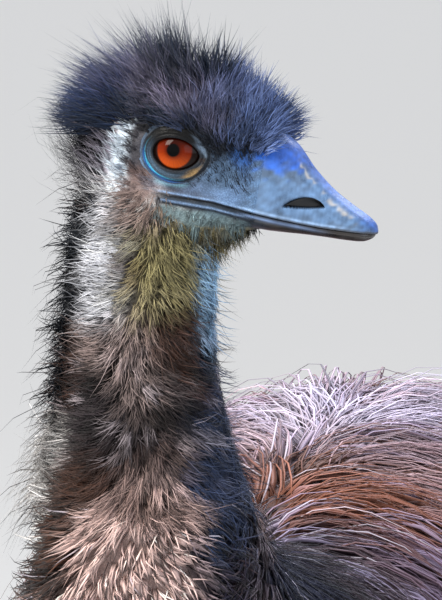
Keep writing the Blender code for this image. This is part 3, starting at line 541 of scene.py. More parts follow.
class Plumage:
    """The markings of the skin and coat."""

    # On the trunk and neck: share of the body line, and angle off the dorsal line.
    TRUNK = (
        Patch((0.30, 0.0), (0.36, 1.25), "#865C4E", 0.9, 0.6),
        # The next two patches, lilac and near white on top of the back, are painted highlight where the light from
        # above falls.
        Patch((0.37, 0.14), (0.130, 0.34), "#B89EAC", 0.75, 0.6, 0.7),
        Patch((0.39, 0.0), (0.070, 0.17), "#CFC5D8", 1.0, 0.5, 0.8),
        Patch((0.50, 0.28), (0.070, 0.26), "#9A7C7C", 0.7, 0.6, 0.7),
        Patch((0.57, 0.16), (0.050, 0.30), "#8E5842", 0.85, 0.6, 0.6),
        # Painted shade: a blue-violet patch low on the back's flank.
        Patch((0.610, 0.62), (0.070, 0.34), "#766680", 0.85, 0.6, 0.6),
        Patch((0.685, 0.30), (0.080, 0.80), "#54464E", 0.95, 0.4, 0.4),
        Patch((0.30, 2.6), (0.40, 0.8), "#8A7562", 0.8, 0.6),
        Patch((0.800, 2.08), (0.066, 0.70), "#FFDCD4", 1.0, 0.35, 0.35),
        Patch((0.892, 1.40), (0.026, 0.95), "#332F33", 0.9, 0.5, 0.6),
        Patch((0.926, 1.50), (0.022, 0.75), "#9C8A86", 0.95, 0.6, 0.7),
        Patch((0.962, 1.18), (0.035, 0.56), "#DEE0E8", 1.0, 0.35, 0.4),
        Patch((0.956, 2.08), (0.028, 0.56), "#9A9268", 0.95, 0.5, 0.4),
        Patch((0.986, 1.62), (0.013, 0.46), "#8C7A74", 0.95, 0.5, 0.4),
        Patch((0.936, 2.92), (0.028, 0.34), "#AEDAFF", 0.95, 0.4, 0.3),
        Patch((0.866, 2.90), (0.052, 0.52), "#333F5C", 1.0, 0.4, 0.4),
        Patch((0.760, 3.05), (0.060, 0.34), "#1E2A4A", 0.9, 0.5, 0.3),
        Patch((0.950, 0.0), (0.105, 0.70), "#171D26", 1.0, 0.3, 0.35),
        Patch((0.868, 0.48), (0.018, 0.42), "#F4F1EF", 1.0, 0.4, 0.3),
        Patch((0.842, 0.48), (0.022, 0.46), "#F4F1EF", 1.0, 0.4, 0.5),
    )
    # On the trunk's left side alone: the dark flank of the neck's root, painted shade on that one side.
    LEFT = (Patch((0.775, 1.65), (0.075, 1.60), "#2E3148", 1.0, 0.4, 0.3),)
    # On the head: its own x and z in metres.
    HEAD = (
        Patch((0.000, 0.032), (0.066, 0.024), "#1C222D", 1.0, 0.35, 0.3),
        Patch((0.002, 0.0225), (0.026, 0.0065), "#7A6F84", 0.75, 0.7, 0.6),
        Patch((0.044, 0.020), (0.020, 0.012), "#465272", 0.7, 0.7, 0.5),
        Patch((-0.016, -0.042), (0.028, 0.020), "#DEDAD8", 1.0, 0.5, 0.4),
        Patch((-0.032, -0.034), (0.012, 0.024), "#ECEEF2", 1.0, 0.5, 0.4),
        Patch((0.030, -0.051), (0.040, 0.0155), "#857C58", 0.95, 0.4, 0.4),
        Patch((-0.018, -0.022), (0.011, 0.012), "#75605C", 0.9, 0.6, 0.5),
        Patch((0.020, -0.0335), (0.030, 0.0050), "#64787C", 0.95, 0.5, 0.8),
        Patch((-0.0305, -0.006), (0.0070, 0.0280), "#D0DEEC", 1.0, 0.5, 0.5),
        Patch((-0.038, 0.014), (0.005, 0.010), "#D6A684", 0.8, 0.6, 0.5),
        Patch((-0.041, -0.008), (0.007, 0.024), "#787280", 0.9, 0.6, 0.6),
        Patch((-0.055, -0.002), (0.0135, 0.055), "#14171C", 1.0, 0.35, 0.4),
        Patch((0.034, -0.008), (0.028, 0.018), "#526A86", 0.95, 0.5, 0.3),
        Patch((0.026, -0.0185), (0.024, 0.006), "#6F8CB4", 0.7, 0.7, 0.6),
        Patch((0.004, -0.0155), (0.008, 0.0035), "#7CC4D8", 0.8, 0.7, 0.8),
        Patch((0.042, 0.006), (0.010, 0.010), "#2C66B8", 0.8, 0.6, 0.4),
        Patch((0.002, 0.0125), (0.026, 0.0075), "#08090C", 1.0, 0.35, 0.2),
        # A painted glint: a blue highlight on the dark brow band.
        Patch((0.004, 0.0170), (0.008, 0.0018), "#2450A0", 0.7, 0.6, 0.6),
        Patch((0.0190, 0.0065), (0.008, 0.0090), "#0E1116", 0.9, 0.6, 0.4),
    )

    def trunk(self, share: Array, angle: Array, points: Array) -> Array:
        """Colours of the trunk and neck.

        Args:
            share: shares of the body line.
            angle: angles off the dorsal line.
            points: the places, for the noise.

        Returns:
            Linear red, green and blue for each.
        """
        off = np.abs(np.arctan2(np.sin(angle), np.cos(angle)))
        noise = mottle(points, 0.022, 5)
        ground = np.broadcast_to(linear("#4A3228"), (*off.shape, 3)).copy()
        for patch in self.TRUNK:
            ground = patch.lay(ground, share, off, noise)
        for patch in self.LEFT:
            ground = np.where(np.sin(angle)[..., None] > 0, patch.lay(ground, share, off, noise), ground)
        fine, middle = mottle(points, 0.008, 9), bump(share, 0.898, 0.030)
        ground = ground + (linear("#BDB2B8") - ground) * (0.55 * middle * ease(fine, 0.25, 0.8))[..., None]
        return ground * (1 + 0.22 * fine - 0.6 * middle * ease(-fine, 0.1, 0.7))[..., None]

    def head(self, local: Array) -> Array:
        """Colours of the head at points of its own frame."""
        noise = mottle(local, 0.010, 3)
        ground = np.broadcast_to(linear("#3B3A40"), (*local.shape[:-1], 3)).copy()
        for patch in self.HEAD:
            ground = patch.lay(ground, local[..., 0], local[..., 2], noise)
        below = mouth_height(local[..., 0]) - local[..., 2]
        lip = ease(local[..., 0], GAPE_CORNER[0] - 0.003, GAPE_CORNER[0] + 0.005)
        # Along the mouth: the mandible's dark band, two pale lines on the lip ridges that are painted highlights, and
        # a near-black line in the mouth's groove that is painted shade.
        for code, share in (
            ("#2B333D", ease(below, -0.0006, 0.0002) * (1 - ease(below, 0.0046, 0.0060))),
            ("#8FB0DC", 0.75 * bump(below, -0.0014, 0.0006) + 0.5 * bump(below, 0.0030, 0.0006)),
            ("#0A0A0C", 0.95 * bump(below, 0.0002, 0.0005)),
        ):
            ground = ground + (linear(code) - ground) * (lip * share)[..., None]
        horn = ease(local[..., 0], 0.030, 0.044) * ease(local[..., 2] - mouth_height(local[..., 0]), 0.0, 0.001)
        ground = ground + (1.16 * BillMarks().upper(local) - ground) * horn[..., None]
        horn = ease(local[..., 0], 0.034, 0.046) * ease(below, 0.0003, 0.0012)
        ground = ground + (BillMarks().lower(local) - ground) * horn[..., None]
        speckle = bump(local[..., 2], -0.034, 0.006) * bump(local[..., 0], 0.018, 0.014)
        ground = ground * (1 + 0.8 * speckle * mottle(local, 0.0012, 15))[..., None]
        return ground * (1 + 0.18 * mottle(local, 0.004, 4))[..., None]

    def crest(self, local: Array) -> Array:
        """Colours of the crest: blue-black, lilac grey over the eye and bluer in front."""
        x, z = local[..., 0], local[..., 2]
        noise = mottle(local, 0.010, 7)
        ground = np.broadcast_to(linear("#131E30"), (*x.shape, 3)).copy()
        for patch in (
            Patch((-0.004, 0.0215), (0.024, 0.0052), "#746E86", 0.85, 0.7, 0.8),
            Patch((0.040, 0.014), (0.024, 0.014), "#5E72A2", 0.9, 0.7, 0.7),
            Patch((0.020, 0.013), (0.010, 0.007), "#4C4656", 0.7, 0.7, 0.7),
            Patch((-0.040, 0.016), (0.014, 0.012), "#22335A", 0.7, 0.7, 0.7),
        ):
            ground = patch.lay(ground, x, z, noise)
        return ground * (1 + 0.25 * mottle(local, 0.005, 8))[..., None]

    def thigh(self, points: Array) -> Array:
        """Colours of the thighs, a paler brown than the back."""
        ground = np.broadcast_to(linear("#6B4E3A"), (*points.shape[:-1], 3))
        return ground * (1 + 0.25 * mottle(points, 0.030, 6))[..., None]


class MeshMaker:
    """Closed bodies for one piece, each a grid that is bent to a shape and sewn at its seams."""

    def __init__(self) -> None:
        """Starts an empty mesh with the maps that every piece carries."""
        self.mesh = bmesh.new()
        self.map = self.mesh.loops.layers.uv.new(BAKE_MAP)
        self.marks = self.mesh.verts.layers.float_color.new(MARKING)

    def sheet(
        self,
        around: int,
        along: int,
        place: Callable[[Array, Array], Array],
        paint: Callable[[Array, Array, Array], Array],
        rect: tuple[float, float, float, float] = (0.0, 0.0, 1.0, 1.0),
    ) -> None:
        """Adds one closed body.

        Args:
            around: how many faces lie round it.
            along: how many lie along it.
            place: gives the places for u round it and v along it, both from 0 to 1.
            paint: gives the colours for u, v and the places.
            rect: the body's rectangle on the unwrap.
        """
        made = bmesh.ops.create_grid(
            self.mesh, x_segments=around, y_segments=along, size=1.0, calc_uvs=True
        )["verts"]
        flat = np.array([vert.co[:2] for vert in made]) / 2 + 0.5
        places = place(flat[:, 0], flat[:, 1])
        colours = np.clip(paint(flat[:, 0], flat[:, 1], places), 0.0, 1.0)
        places = places + SHIFT
        for vert, spot, colour in zip(made, places.tolist(), colours.tolist()):
            vert.co = spot
            vert[self.marks] = (*colour, 1.0)
        wide, high = rect[2] - rect[0], rect[3] - rect[1]
        for face in {face for vert in made for face in vert.link_faces}:
            face.smooth = True
            for loop in face.loops:
                u, v = loop[self.map].uv
                loop[self.map].uv = (rect[0] + u * wide, rect[1] + v * high)
        bmesh.ops.remove_doubles(self.mesh, verts=made, dist=2e-6)

    def piece(self, name: str, finish: bpy.types.Material) -> bpy.types.Object:
        """Ends the mesh and makes the object that holds it.

        Args:
            name: the piece's name.
            finish: its material.

        Returns:
            The object, at the origin.
        """
        bmesh.ops.recalc_face_normals(self.mesh, faces=self.mesh.faces)
        data = bpy.data.meshes.new(name)
        self.mesh.to_mesh(data)
        self.mesh.free()
        return shown(name, data, finish)


def shown(name: str, data: bpy.types.Mesh, finish: bpy.types.Material) -> bpy.types.Object:
    """An object of the scene for a mesh, in its finish."""
    made = bpy.data.objects.new(name, data)
    bpy.context.scene.collection.objects.link(made)
    data.materials.append(finish)
    return made


def closed_line(v: Array, cap: float = 0.02) -> tuple[Array, Array]:
    """Splits a sheet's v into a share along a body, and a size that is 0 at both ends.

    Args:
        v: from 0 to 1.
        cap: how much of v at each end closes the body.

    Returns:
        The shares, and the sizes.
    """
    share = np.clip((v - cap) / (1 - 2 * cap), 0.0, 1.0)
    return share, np.where((v < cap / 2) | (v > 1 - cap / 2), 0.0, 1.0)


def toward(centre: Array, points: Array, size: Array) -> Array:
    """Points drawn in to a centre where the size is 0."""
    return centre + (points - centre) * size[..., None]


@dataclass
class Skin:
    """The one skin under the coat: trunk, neck, head, lids, thighs and the small wings."""

    trunk: TrunkForm = field(default_factory=TrunkForm)
    head: HeadForm = field(default_factory=HeadForm)
    plumage: Plumage = field(default_factory=Plumage)
    lid_crest: float = 0.0013
    lid_reach: float = 1.75

    def head_place(self, u: Array, v: Array, rows: int) -> Array:
        """Places of the head's skin.

        Args:
            u: from 0 to 1 round it.
            v: from 0 to 1 along it.
            rows: how many faces lie along it.

        Returns:
            Places on the bird.
        """
        share, size = closed_line(v, 1 / rows)
        angle = self.head.turn(u, share)
        local = self.head.local(share, angle)
        x, z = local[:, 0], local[:, 2]
        side = np.sign(local[:, 1])
        out = unit(self.head.local(share, angle, 0.002) - local)
        flank = ease(np.abs(local[:, 1]), 0.004, 0.012)
        rise = np.zeros_like(x)
        below = mouth_height(x) - z
        lip = ease(x, GAPE_CORNER[0] - 0.003, GAPE_CORNER[0] + 0.007) * flank * (1 - 0.7 * ease(x, 0.030, 0.046))
        rise += lip * (0.0007 * bump(below, -0.0020, 0.0011) + 0.0009 * bump(below, 0.0029, 0.0015))
        rise -= lip * (0.0013 * bump(below, 0.0002, 0.0006) + 0.0007 * bump(below, 0.0058, 0.0009))
        rise += 0.0012 * flank * np.exp(-(np.hypot(x - GAPE_CORNER[0] + 0.003, z - GAPE_CORNER[1]) / 0.003) ** 2)
        ear = np.hypot((x - EAR_PLACE[0]) / EAR_SIZE[0], (z - EAR_PLACE[1]) / EAR_SIZE[1])
        rise -= 0.004 * (1 - ease(ear, 0.5, 1.0)) * flank
        local = local + out * rise[:, None]
        ring = np.hypot(
            (x - LID_CENTRE[0]) / LID_OPENING[0], (z - LID_CENTRE[1]) / LID_OPENING[1]
        )
        sunk = 0.012 * (1 - ease(ring, 0.95, 1.10)) + 0.003 * (1 - ease(ring, 1.35, 1.65))
        local[:, 1] -= side * sunk * flank
        horn = side * (bill_wall(x, z) - 0.0009 * ease(x, 0.0455, 0.0480))
        local[:, 1] += (horn - local[:, 1]) * ease(x, 0.030, 0.0465)
        middle = np.stack((x, 0 * x, smooth_between(HEAD_STATIONS, share)[:, 4]), -1)
        return head_to_world(toward(middle, local, size))

    def lid_place(self, u: Array, v: Array, side: int) -> Array:
        """Places of the lids round one eye.

        Args:
            u: from 0 to 1 round the eye.
            v: from 0 to 1, out over the lids and back behind them.
            side: 1 on the left and -1 on the right.

        Returns:
            Places in the head's own frame.
        """
        turn = math.tau * u
        front = v <= 0.8
        ring = np.where(front, 0.955 + (self.lid_reach - 0.955) * v / 0.8,
                        self.lid_reach - (self.lid_reach - 0.955) * (v - 0.8) / 0.2)
        corner = 1 - 0.16 * np.clip(np.cos(turn), 0, 1) ** 3
        x = LID_CENTRE[0] + LID_OPENING[0] * ring * np.cos(turn)
        round_ = LID_OPENING[1] * ring + 0.0026 * ease(ring, 1.02, 1.45)
        z = LID_CENTRE[1] + round_ * np.sin(turn) * corner
        edge_x = LID_CENTRE[0] + LID_OPENING[0] * np.cos(turn)
        edge_z = LID_CENTRE[1] + LID_OPENING[1] * np.sin(turn) * corner
        ball = EYE_OFFSET + np.sqrt(np.maximum(EYE_RADIUS**2 - edge_x**2 - edge_z**2, 0.0))
        crest = self.lid_crest * (1 + 0.6 * ease(np.sin(turn), 0.1, 0.9))
        lid = ball + 0.0002 + crest * ease(ring, 0.955, 1.05)
        wall = self.head.wall(x, z) + self.head.relief(x, z) - 0.0001
        y = lid + (wall - lid) * ease(ring, 1.10, self.lid_reach)
        low = ease(-np.sin(turn), -0.5, 0.1)
        y -= 0.00045 * bump(ring, 1.17, 0.025) + 0.0004 * bump(ring, 1.46, 0.04)
        y += 0.0006 * bump(ring, 1.33, 0.045) * low
        spot = np.stack((np.cos(turn), np.sin(turn), 6 * ring), -1)
        y += 0.00022 * mottle(spot, 0.35, 17) * ease(ring, 1.08, 1.2)
        y -= np.where(front, 0.0, 0.0035)
        return np.stack((x, side * y, z), -1)

    def lid_paint(self, u: Array, v: Array) -> Array:
        """Colours of the lids: dark margins, a turquoise line behind and below with a painted highlight on its fold,
        pale corners, and painted shade under the brow on the upper lid and the top of the outer ring.

        Args:
            u: from 0 to 1 round the eye.
            v: from 0 to 1, out over the lids and back.

        Returns:
            Linear colours.
        """
        turn = np.degrees(math.tau * u)
        ring = 0.955 + (self.lid_reach - 0.955) * np.minimum(v / 0.8, 1.0)
        spot = np.stack((np.cos(math.tau * u), np.sin(math.tau * u), 4 * v), -1)
        noise = mottle(spot, 0.5, 8)
        ring = ring + 0.035 * mottle(spot, 0.4, 18) * ease(ring, 1.05, 1.15)
        ground = np.broadcast_to(linear("#23282F"), (len(u), 3)).copy()
        for patch in (
            Patch((215.0, 1.20), (70.0, 0.09), "#41576A", 0.8, 0.6, 0.3),
            # The turquoise line along the lower lid's fold: the lid's own colour, brightened as a painted highlight on
            # the fold.
            Patch((225.0, 1.345), (66.0, 0.026), "#3E9CC0", 0.95, 0.7, 0.7),
            Patch((245.0, 1.45), (46.0, 0.05), "#2A66B4", 0.55, 0.7, 0.8),
            # The upper lid: dark skin, deepened to near black as painted shade under the brow.
            Patch((90.0, 1.30), (80.0, 0.34), "#040405", 1.0, 0.5, 0.2),
            Patch((26.0, 1.24), (20.0, 0.15), "#66788C", 0.8, 0.7, 0.5),
            Patch((352.0, 1.14), (12.0, 0.09), "#24140E", 0.9, 0.6, 0.3),
            Patch((312.0, 1.26), (16.0, 0.08), "#80663C", 0.7, 0.7, 0.6),
        ):
            ground = patch.lay(ground, turn, ring, noise)
        # The outer ring is darker toward the top, as painted shade under the brow, and lighter toward the bottom, as
        # painted light.
        outer = ease(ring, 1.42, 1.66)
        side = linear("#566C86") * np.clip(0.95 - 0.80 * np.sin(math.tau * u), 0.1, 1.25)[:, None]
        ground = ground + (side - ground) * (0.8 * outer)[:, None]
        ground = ground * (1 + 0.30 * mottle(spot * np.array((1.0, 1.0, 6.0)), 0.35, 19))[:, None]
        rim = 1 - ease(ring, 0.99, 1.05)
        return ground + (linear("#0B0908") - ground) * rim[:, None]

    def build(self, finish: bpy.types.Material) -> bpy.types.Object:
        """Makes the skin in one piece.

        Args:
            finish: the skin's material.

        Returns:
            The skin.
        """
        maker = MeshMaker()
        rows = 150

        def trunk_place(u: Array, v: Array) -> Array:
            share, size = closed_line(v, 1 / rows)
            share = share * NECK_TOP
            points = self.trunk.point(share, math.tau * u, -self.trunk.skin_depth)
            return toward(self.trunk.frame(share)[0], points, size)

        def trunk_paint(u: Array, v: Array, places: Array) -> Array:
            # The skin under the coat is painted at 0.4 of the markings: painted shade in the gaps between the
            # feathers.
            return 0.4 * self.plumage.trunk(closed_line(v, 1 / rows)[0] * NECK_TOP, math.tau * u, places)

        maker.sheet(72, rows, trunk_place, trunk_paint, self.trunk.rect)
        maker.sheet(
            220, 120, lambda u, v: self.head_place(u, v, 120),
            lambda u, v, places: self.plumage.head(self.head.back(places)), self.head.rect,
        )
        for side in (1, -1):
            maker.sheet(
                96, 40, lambda u, v: head_to_world(self.lid_place(u, v, side)),
                lambda u, v, _: self.lid_paint(u, v), (0.90, 0.60 + 0.2 * side, 0.98, 0.68 + 0.2 * side),
            )
            thigh = LegForm(side, -side * STRIDE / 2, (0.62 + 0.1 * side, 0.51, 0.68 + 0.1 * side, 0.99))

            def thigh_place(u: Array, v: Array) -> Array:
                share, size = closed_line(v, 1 / 30)
                share = share * (THIGH_END + 0.01)
                points = thigh.point(share, math.tau * u, -0.001)
                return toward(thigh.point(share, math.tau * u, -smooth_between(LEG_STATIONS, share)[:, 2]),
                              points, size)

            # The thigh's skin is painted at half of its markings: painted shade under its feathers.
            maker.sheet(32, 30, thigh_place, lambda u, v, places: 0.5 * self.plumage.thigh(places), thigh.rect)
        made = maker.piece("skin", finish)
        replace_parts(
            made, "torso", "tail", "neck_lower", "neck_upper", "head", "thigh_left", "thigh_right",
            "wing_left", "wing_right",
        )
        return made


@dataclass
class Bill:
    """The horn of the upper and lower bill, whose root lies under the skin of the face."""

    nostril_depth: float = 0.0045
    edge_height: float = 0.0005
    root: float = 0.0002
    marks: BillMarks = field(default_factory=BillMarks)

    def section(self, v: Array, half: Array, roof: Array, mouth: Array) -> tuple[Array, Array]:
        """Across and up, round the upper bill.

        Args:
            v: from 0 to 1 round it: the roof, then the palate.
            half: half widths.
            roof: heights of the culmen.
            mouth: heights of the edge.

        Returns:
            The two coordinates.
        """
        turn = math.pi * np.clip(v / 0.84, 0.0, 1.0)
        across, up = np.cos(turn), np.sin(turn)
        y = half * np.copysign(np.abs(across) ** 0.95, across)
        z = mouth + (roof - mouth) * np.abs(up) ** 1.15
        back = np.clip((v - 0.84) / 0.16, 0.0, 1.0)
        return y + 2 * half * back, z + 0.0012 * np.sin(math.pi * back)

    def upper_local(self, u: Array, v: Array, rows: int) -> Array:
        """Points of the upper bill in the head's own frame.

        Args:
            u: from 0 to 1 round it.
            v: from 0 to 1 along it.
            rows: how many faces lie along it.

        Returns:
            The points.
        """
        share, size = closed_line(v, 1 / rows)
        x, culmen, mouth, _, half = smooth_between(BILL_STATIONS, share).T
        half = half - self.root * (1 - ease(x, 0.044, 0.052))
        culmen = culmen - self.root * (1 - ease(x, 0.044, 0.052))
        y, z = self.section(u, half, culmen, mouth + 0.00015)
        side = np.sign(y)
        roof = u < 0.84
        keel = 0.0007 * bump(y, 0.0, 0.0022) * ease(x, 0.056, 0.066) * roof
        hollow = -0.0009 * bump(x, 0.080, 0.014) * bump(z, culmen - 0.006, 0.003) * roof
        edge = self.edge_height * bump(z, mouth + 0.0016, 0.0009) * roof
        arch, high, open_ = nostril(x, z)
        open_ = open_ * roof
        lip = 0.0005 * bump(z - high, 0.0004, 0.0009) * bump(arch, 0.0, 0.85) * roof
        y = y + side * (edge + hollow + lip) - side * self.nostril_depth * open_
        z = z + keel
        local = np.stack((x, y, z), -1)
        middle = np.stack((x, 0 * x, (culmen + 2 * mouth) / 3), -1)
        return toward(middle, local, size)

    def lower_local(self, u: Array, v: Array, rows: int) -> Array:
        """Points of the lower bill in the head's own frame.

        Args:
            u: from 0 to 1 round it.
            v: from 0 to 1 along it.
            rows: how many faces lie along it.

        Returns:
            The points.
        """
        share, size = closed_line(v, 1 / rows)
        x, _, mouth, chin, half = smooth_between(BILL_STATIONS, share).T
        half = 0.96 * (half - self.root * (1 - ease(x, 0.044, 0.052)))
        turn = math.pi * np.clip(u / 0.8, 0.0, 1.0)
        across, down = np.cos(turn), np.sin(turn)
        back = np.clip((u - 0.8) / 0.2, 0.0, 1.0)
        y = half * across + 2 * half * back
        z = mouth - 0.00015 - (mouth - chin) * np.abs(down) ** 0.8 - 0.0008 * np.sin(math.pi * back)
        edge = self.edge_height * bump(z, mouth - 0.0018, 0.0009) * (u < 0.8)
        local = np.stack((x - 0.0012 * share, y + np.sign(y) * edge, z), -1)
        return toward(np.stack((x - 0.0012 * share, 0 * x, (mouth + chin) / 2), -1), local, size)

    def build(self, finish: bpy.types.Material) -> list[bpy.types.Object]:
        """Makes the two halves of the bill.

        Args:
            finish: the horn.

        Returns:
            The pieces.
        """
        made = []
        for name, local, node, paint in (
            ("bill_upper_horn", self.upper_local, "bill_upper", self.marks.upper),
            ("bill_lower_horn", self.lower_local, "bill_lower", self.marks.lower),
        ):
            maker = MeshMaker()
            rows = 140
            maker.sheet(
                190 if name == "bill_upper_horn" else 100, rows, lambda u, v: head_to_world(local(u, v, rows)),
                lambda u, v, places: paint(local(u, v, rows)),
            )
            made.append(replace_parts(maker.piece(name, finish), node))
        return made


@dataclass
class Eyes:
    """The two eyeballs, whose irises look a little up."""

    iris: float = 0.0100
    pupil: float = 0.0036
    lift: float = 0.0015
    bulge: float = 0.0009

    def place(self, u: Array, v: Array, side: int) -> Array:
        """Points of one eyeball in the head's own frame, its poles on the iris's axis.

        Args:
            u: from 0 to 1 round the axis.
            v: from 0 at the pupil to 1 at the back.
            side: 1 on the left and -1 on the right.

        Returns:
            The points.
        """
        open_, turn = math.pi * v, math.tau * u
        reach = EYE_RADIUS * np.sin(open_)
        depth = EYE_RADIUS * np.cos(open_) + self.bulge * (1 - ease(reach, 0.004, self.iris)) * (v < 0.5)
        x, z = reach * np.cos(turn), reach * np.sin(turn)
        tilt = self.lift / EYE_RADIUS
        return np.stack((x, side * (EYE_OFFSET + depth - z * tilt), z + depth * tilt), -1)

    def paint(self, u: Array, v: Array) -> Array:
        """Colours of the eye: black pupil, red-brown iris with painted light below and painted shade above, dark round
        it.

        Args:
            u: from 0 to 1 round the axis.
            v: from 0 at the pupil to 1 at the back.

        Returns:
            Linear colours.
        """
        reach = EYE_RADIUS * np.sin(math.pi * v)
        turn = math.tau * u
        up = np.sin(turn) * reach / self.iris
        spokes = np.zeros_like(u)
        for count, phase in ((23, 0.4), (37, 1.9), (61, 3.0), (89, 5.0)):
            spokes += np.sin(count * turn + phase) / 4
        # The iris's own red-brown turns orange below as painted light, and near black above as painted shade under the
        # upper lid.
        low, middle, high = linear("#AE4300"), linear("#6A1C02"), linear("#150301")
        iris = middle + (low - middle) * ease(-up, 0.0, 0.95)[:, None]
        iris = iris + (high - iris) * ease(up, -0.15, 0.70)[:, None]
        inner = bump(reach, self.pupil, 0.0014)[:, None]
        iris = iris * (1 - 0.55 * inner) * (1 + 0.16 * spokes[:, None])
        ring = ease(reach, self.iris - 0.0010, self.iris - 0.0001)[:, None]
        iris = iris + (linear("#120806") - iris) * ring
        hole = (1 - ease(reach, self.pupil - 0.0004, self.pupil + 0.0003))[:, None]
        return np.where(v[:, None] > 0.5, linear("#120C0A"), iris + (linear("#020202") - iris) * hole)

    def build(self, finish: bpy.types.Material) -> list[bpy.types.Object]:
        """Makes both eyes.

        Args:
            finish: the wet surface of the eye.

        Returns:
            The pieces.
        """
        made = []
        for name, side in (("left", 1), ("right", -1)):
            maker = MeshMaker()
            maker.sheet(
                128, 80, lambda u, v: head_to_world(self.place(u, v, side)),
                lambda u, v, _: self.paint(u, v),
            )
            made.append(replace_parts(maker.piece(f"eyeball_{name}", finish), f"eye_{name}"))
        return made


@dataclass
class Legs:
    """The bare scaly legs below the feathered thighs, with the feet and the toes' pads."""

    scute: float = 0.0075
    ridge: float = 0.0007

    def middle(self, side: int) -> Array:
        """The place on the floor under one ankle."""
        form = LegForm(side, -side * STRIDE / 2)
        place = (form.point(np.ones(1), np.zeros(1)) + form.point(np.ones(1), np.full(1, math.pi)))[0] / 2
        return place * np.array((1.0, 1.0, 0.0))

    def scutes(self, distance: Array, facing: Array) -> Array:
        """Overlapping plates across the front of a leg or the top of a toe.

        Args:
            distance: metres along it.
            facing: 1 where the plates face, 0 or less elsewhere.

        Returns:
            How far the plates stand out.
        """
        turn = (distance / self.scute) % 1.0
        return self.ridge * (1 - turn**3) * ease(turn, 0.0, 0.18) * ease(facing, 0.1, 0.6)

    def shank_place(self, u: Array, v: Array, side: int) -> Array:
        """Places of a leg from inside the thigh to the ankle."""
        form = LegForm(side, -side * STRIDE / 2)
        share, size = closed_line(v, 1 / 150)
        share = 0.375 + 0.625 * share
        turn = math.tau * u
        rise = self.scutes(share * LEG_LENGTH, -np.sin(turn)) + 0.0005 * self.scutes(
            share * LEG_LENGTH * 1.4, np.sin(turn)) / self.ridge
        knee = 0.0020 * bump(share, SHANK_END - 0.055, 0.03) * np.abs(np.cos(turn)) ** 2
        points = form.point(share, turn, rise + knee - 0.0004)
        return toward(form.point(share, turn, -smooth_between(LEG_STATIONS, share)[:, 2]), points, size)

    def foot_place(self, u: Array, v: Array, side: int) -> Array:
        """Places of the foot's pad, from the ankle down to the floor."""
        share, size = closed_line(v, 1 / 40)
        turn = math.tau * u
        swell = np.interp(share, (0.0, 0.25, 0.6, 0.9, 1.0), (0.74, 0.86, 1.0, 1.0, 0.93))
        reach = FOOT_HALF * swell * size + 0.0004 * np.sin(share * 60) * size
        height = 0.066 * (1 - share)
        return self.middle(side) + np.stack((reach * np.cos(turn), reach * np.sin(turn), height), -1)

    def toe_place(self, u: Array, v: Array, side: int, toe: tuple[float, ...], claw: bool) -> Array:
        """Places of one toe or of its claw.

        Args:
            u: from 0 to 1 round it.
            v: from 0 to 1 along it.
            side: 1 on the left and -1 on the right.
            toe: its row of TOES.
            claw: whether this is the claw.

        Returns:
            Places on the bird.
        """
        angle, length, half, height = toe
        heading = math.radians(angle) * side
        onward = np.array((math.sin(heading), -math.cos(heading), 0.0))
        across = np.array((math.cos(heading), math.sin(heading), 0.0))
        share, size = closed_line(v, 1 / (40 if claw else 90))
        turn = math.tau * u
        if claw:
            far = TOE_ROOT + length - 0.006 + (CLAW_LENGTH + 0.006) * share
            wide = half * 0.52 * (1 - share) ** 0.7 * size
            tall = height * 0.52 * (1 - share) ** 0.55 * size
            low = 0.0012 + 0.0015 * share
            up = low + tall * (0.5 + 0.5 * np.sin(turn))
        else:
            far = 0.012 + (TOE_ROOT + length - 0.012) * share
            t = (far - TOE_ROOT) / length
            pad = 1 + 0.07 * np.cos(math.tau * 3 * t) * (t > 0)
            slim = 1 - 0.42 * np.clip(t, 0, 1) - 0.10 * ease(t, 0.93, 1.0)
            rise = self.scutes(far, np.sin(turn))
            wide = (half * slim * pad) * size + 0.3 * rise
            tall = height * slim * pad * size
            up = np.maximum(0.0, tall * (0.44 + 0.56 * np.sin(turn)) + rise * size)
        place = self.middle(side) + onward * far[:, None] + across * (wide * np.cos(turn))[:, None]
        place[:, 2] = up
        return place

    def paint(self, u: Array, v: Array, places: Array) -> Array:
        """Colours of the scales: grey-brown, mottled."""
        noise = mottle(places, 0.006, 31)
        ground = np.broadcast_to(linear("#5B5046"), (len(u), 3))
        return ground * (1 + 0.30 * noise)[:, None]

    def build(self, finish: bpy.types.Material, horn: bpy.types.Material) -> list[bpy.types.Object]:
        """Makes both legs and their claws.

        Args:
            finish: the scaly skin.
            horn: the claws' horn.

        Returns:
            The pieces.
        """
        made = []
        for label, side in (("left", 1), ("right", -1)):
            legs, claws = MeshMaker(), MeshMaker()
            legs.sheet(48, 150, lambda u, v: self.shank_place(u, v, side), self.paint)
            legs.sheet(40, 40, lambda u, v: self.foot_place(u, v, side), self.paint)
            for toe in TOES:
                legs.sheet(36, 90, lambda u, v: self.toe_place(u, v, side, toe, False), self.paint)
                claws.sheet(24, 40, lambda u, v: self.toe_place(u, v, side, toe, True),
                            lambda u, v, places: np.broadcast_to(linear("#241E1A"), (len(u), 3)))
            nodes = [f"{part}_{label}" for part in (
                "shank", "tarsus", "foot", "toe_inner", "toe_middle", "toe_outer")]
            made.append(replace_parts(legs.piece(f"leg_skin_{label}", finish), *nodes))
            made.append(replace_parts(claws.piece(f"claws_{label}", horn), *(
                f"claw_{part}_{label}" for part in ("inner", "middle", "outer"))))
        return made


@dataclass
class Tufts:
    """Tufts before they are drawn out to strands: one row for each."""

    share: Array
    angle: Array
    length: Array
    turn: Array
    lift: Array
    drift: Array
    bend: Array
    colour: Array
    uv: Array


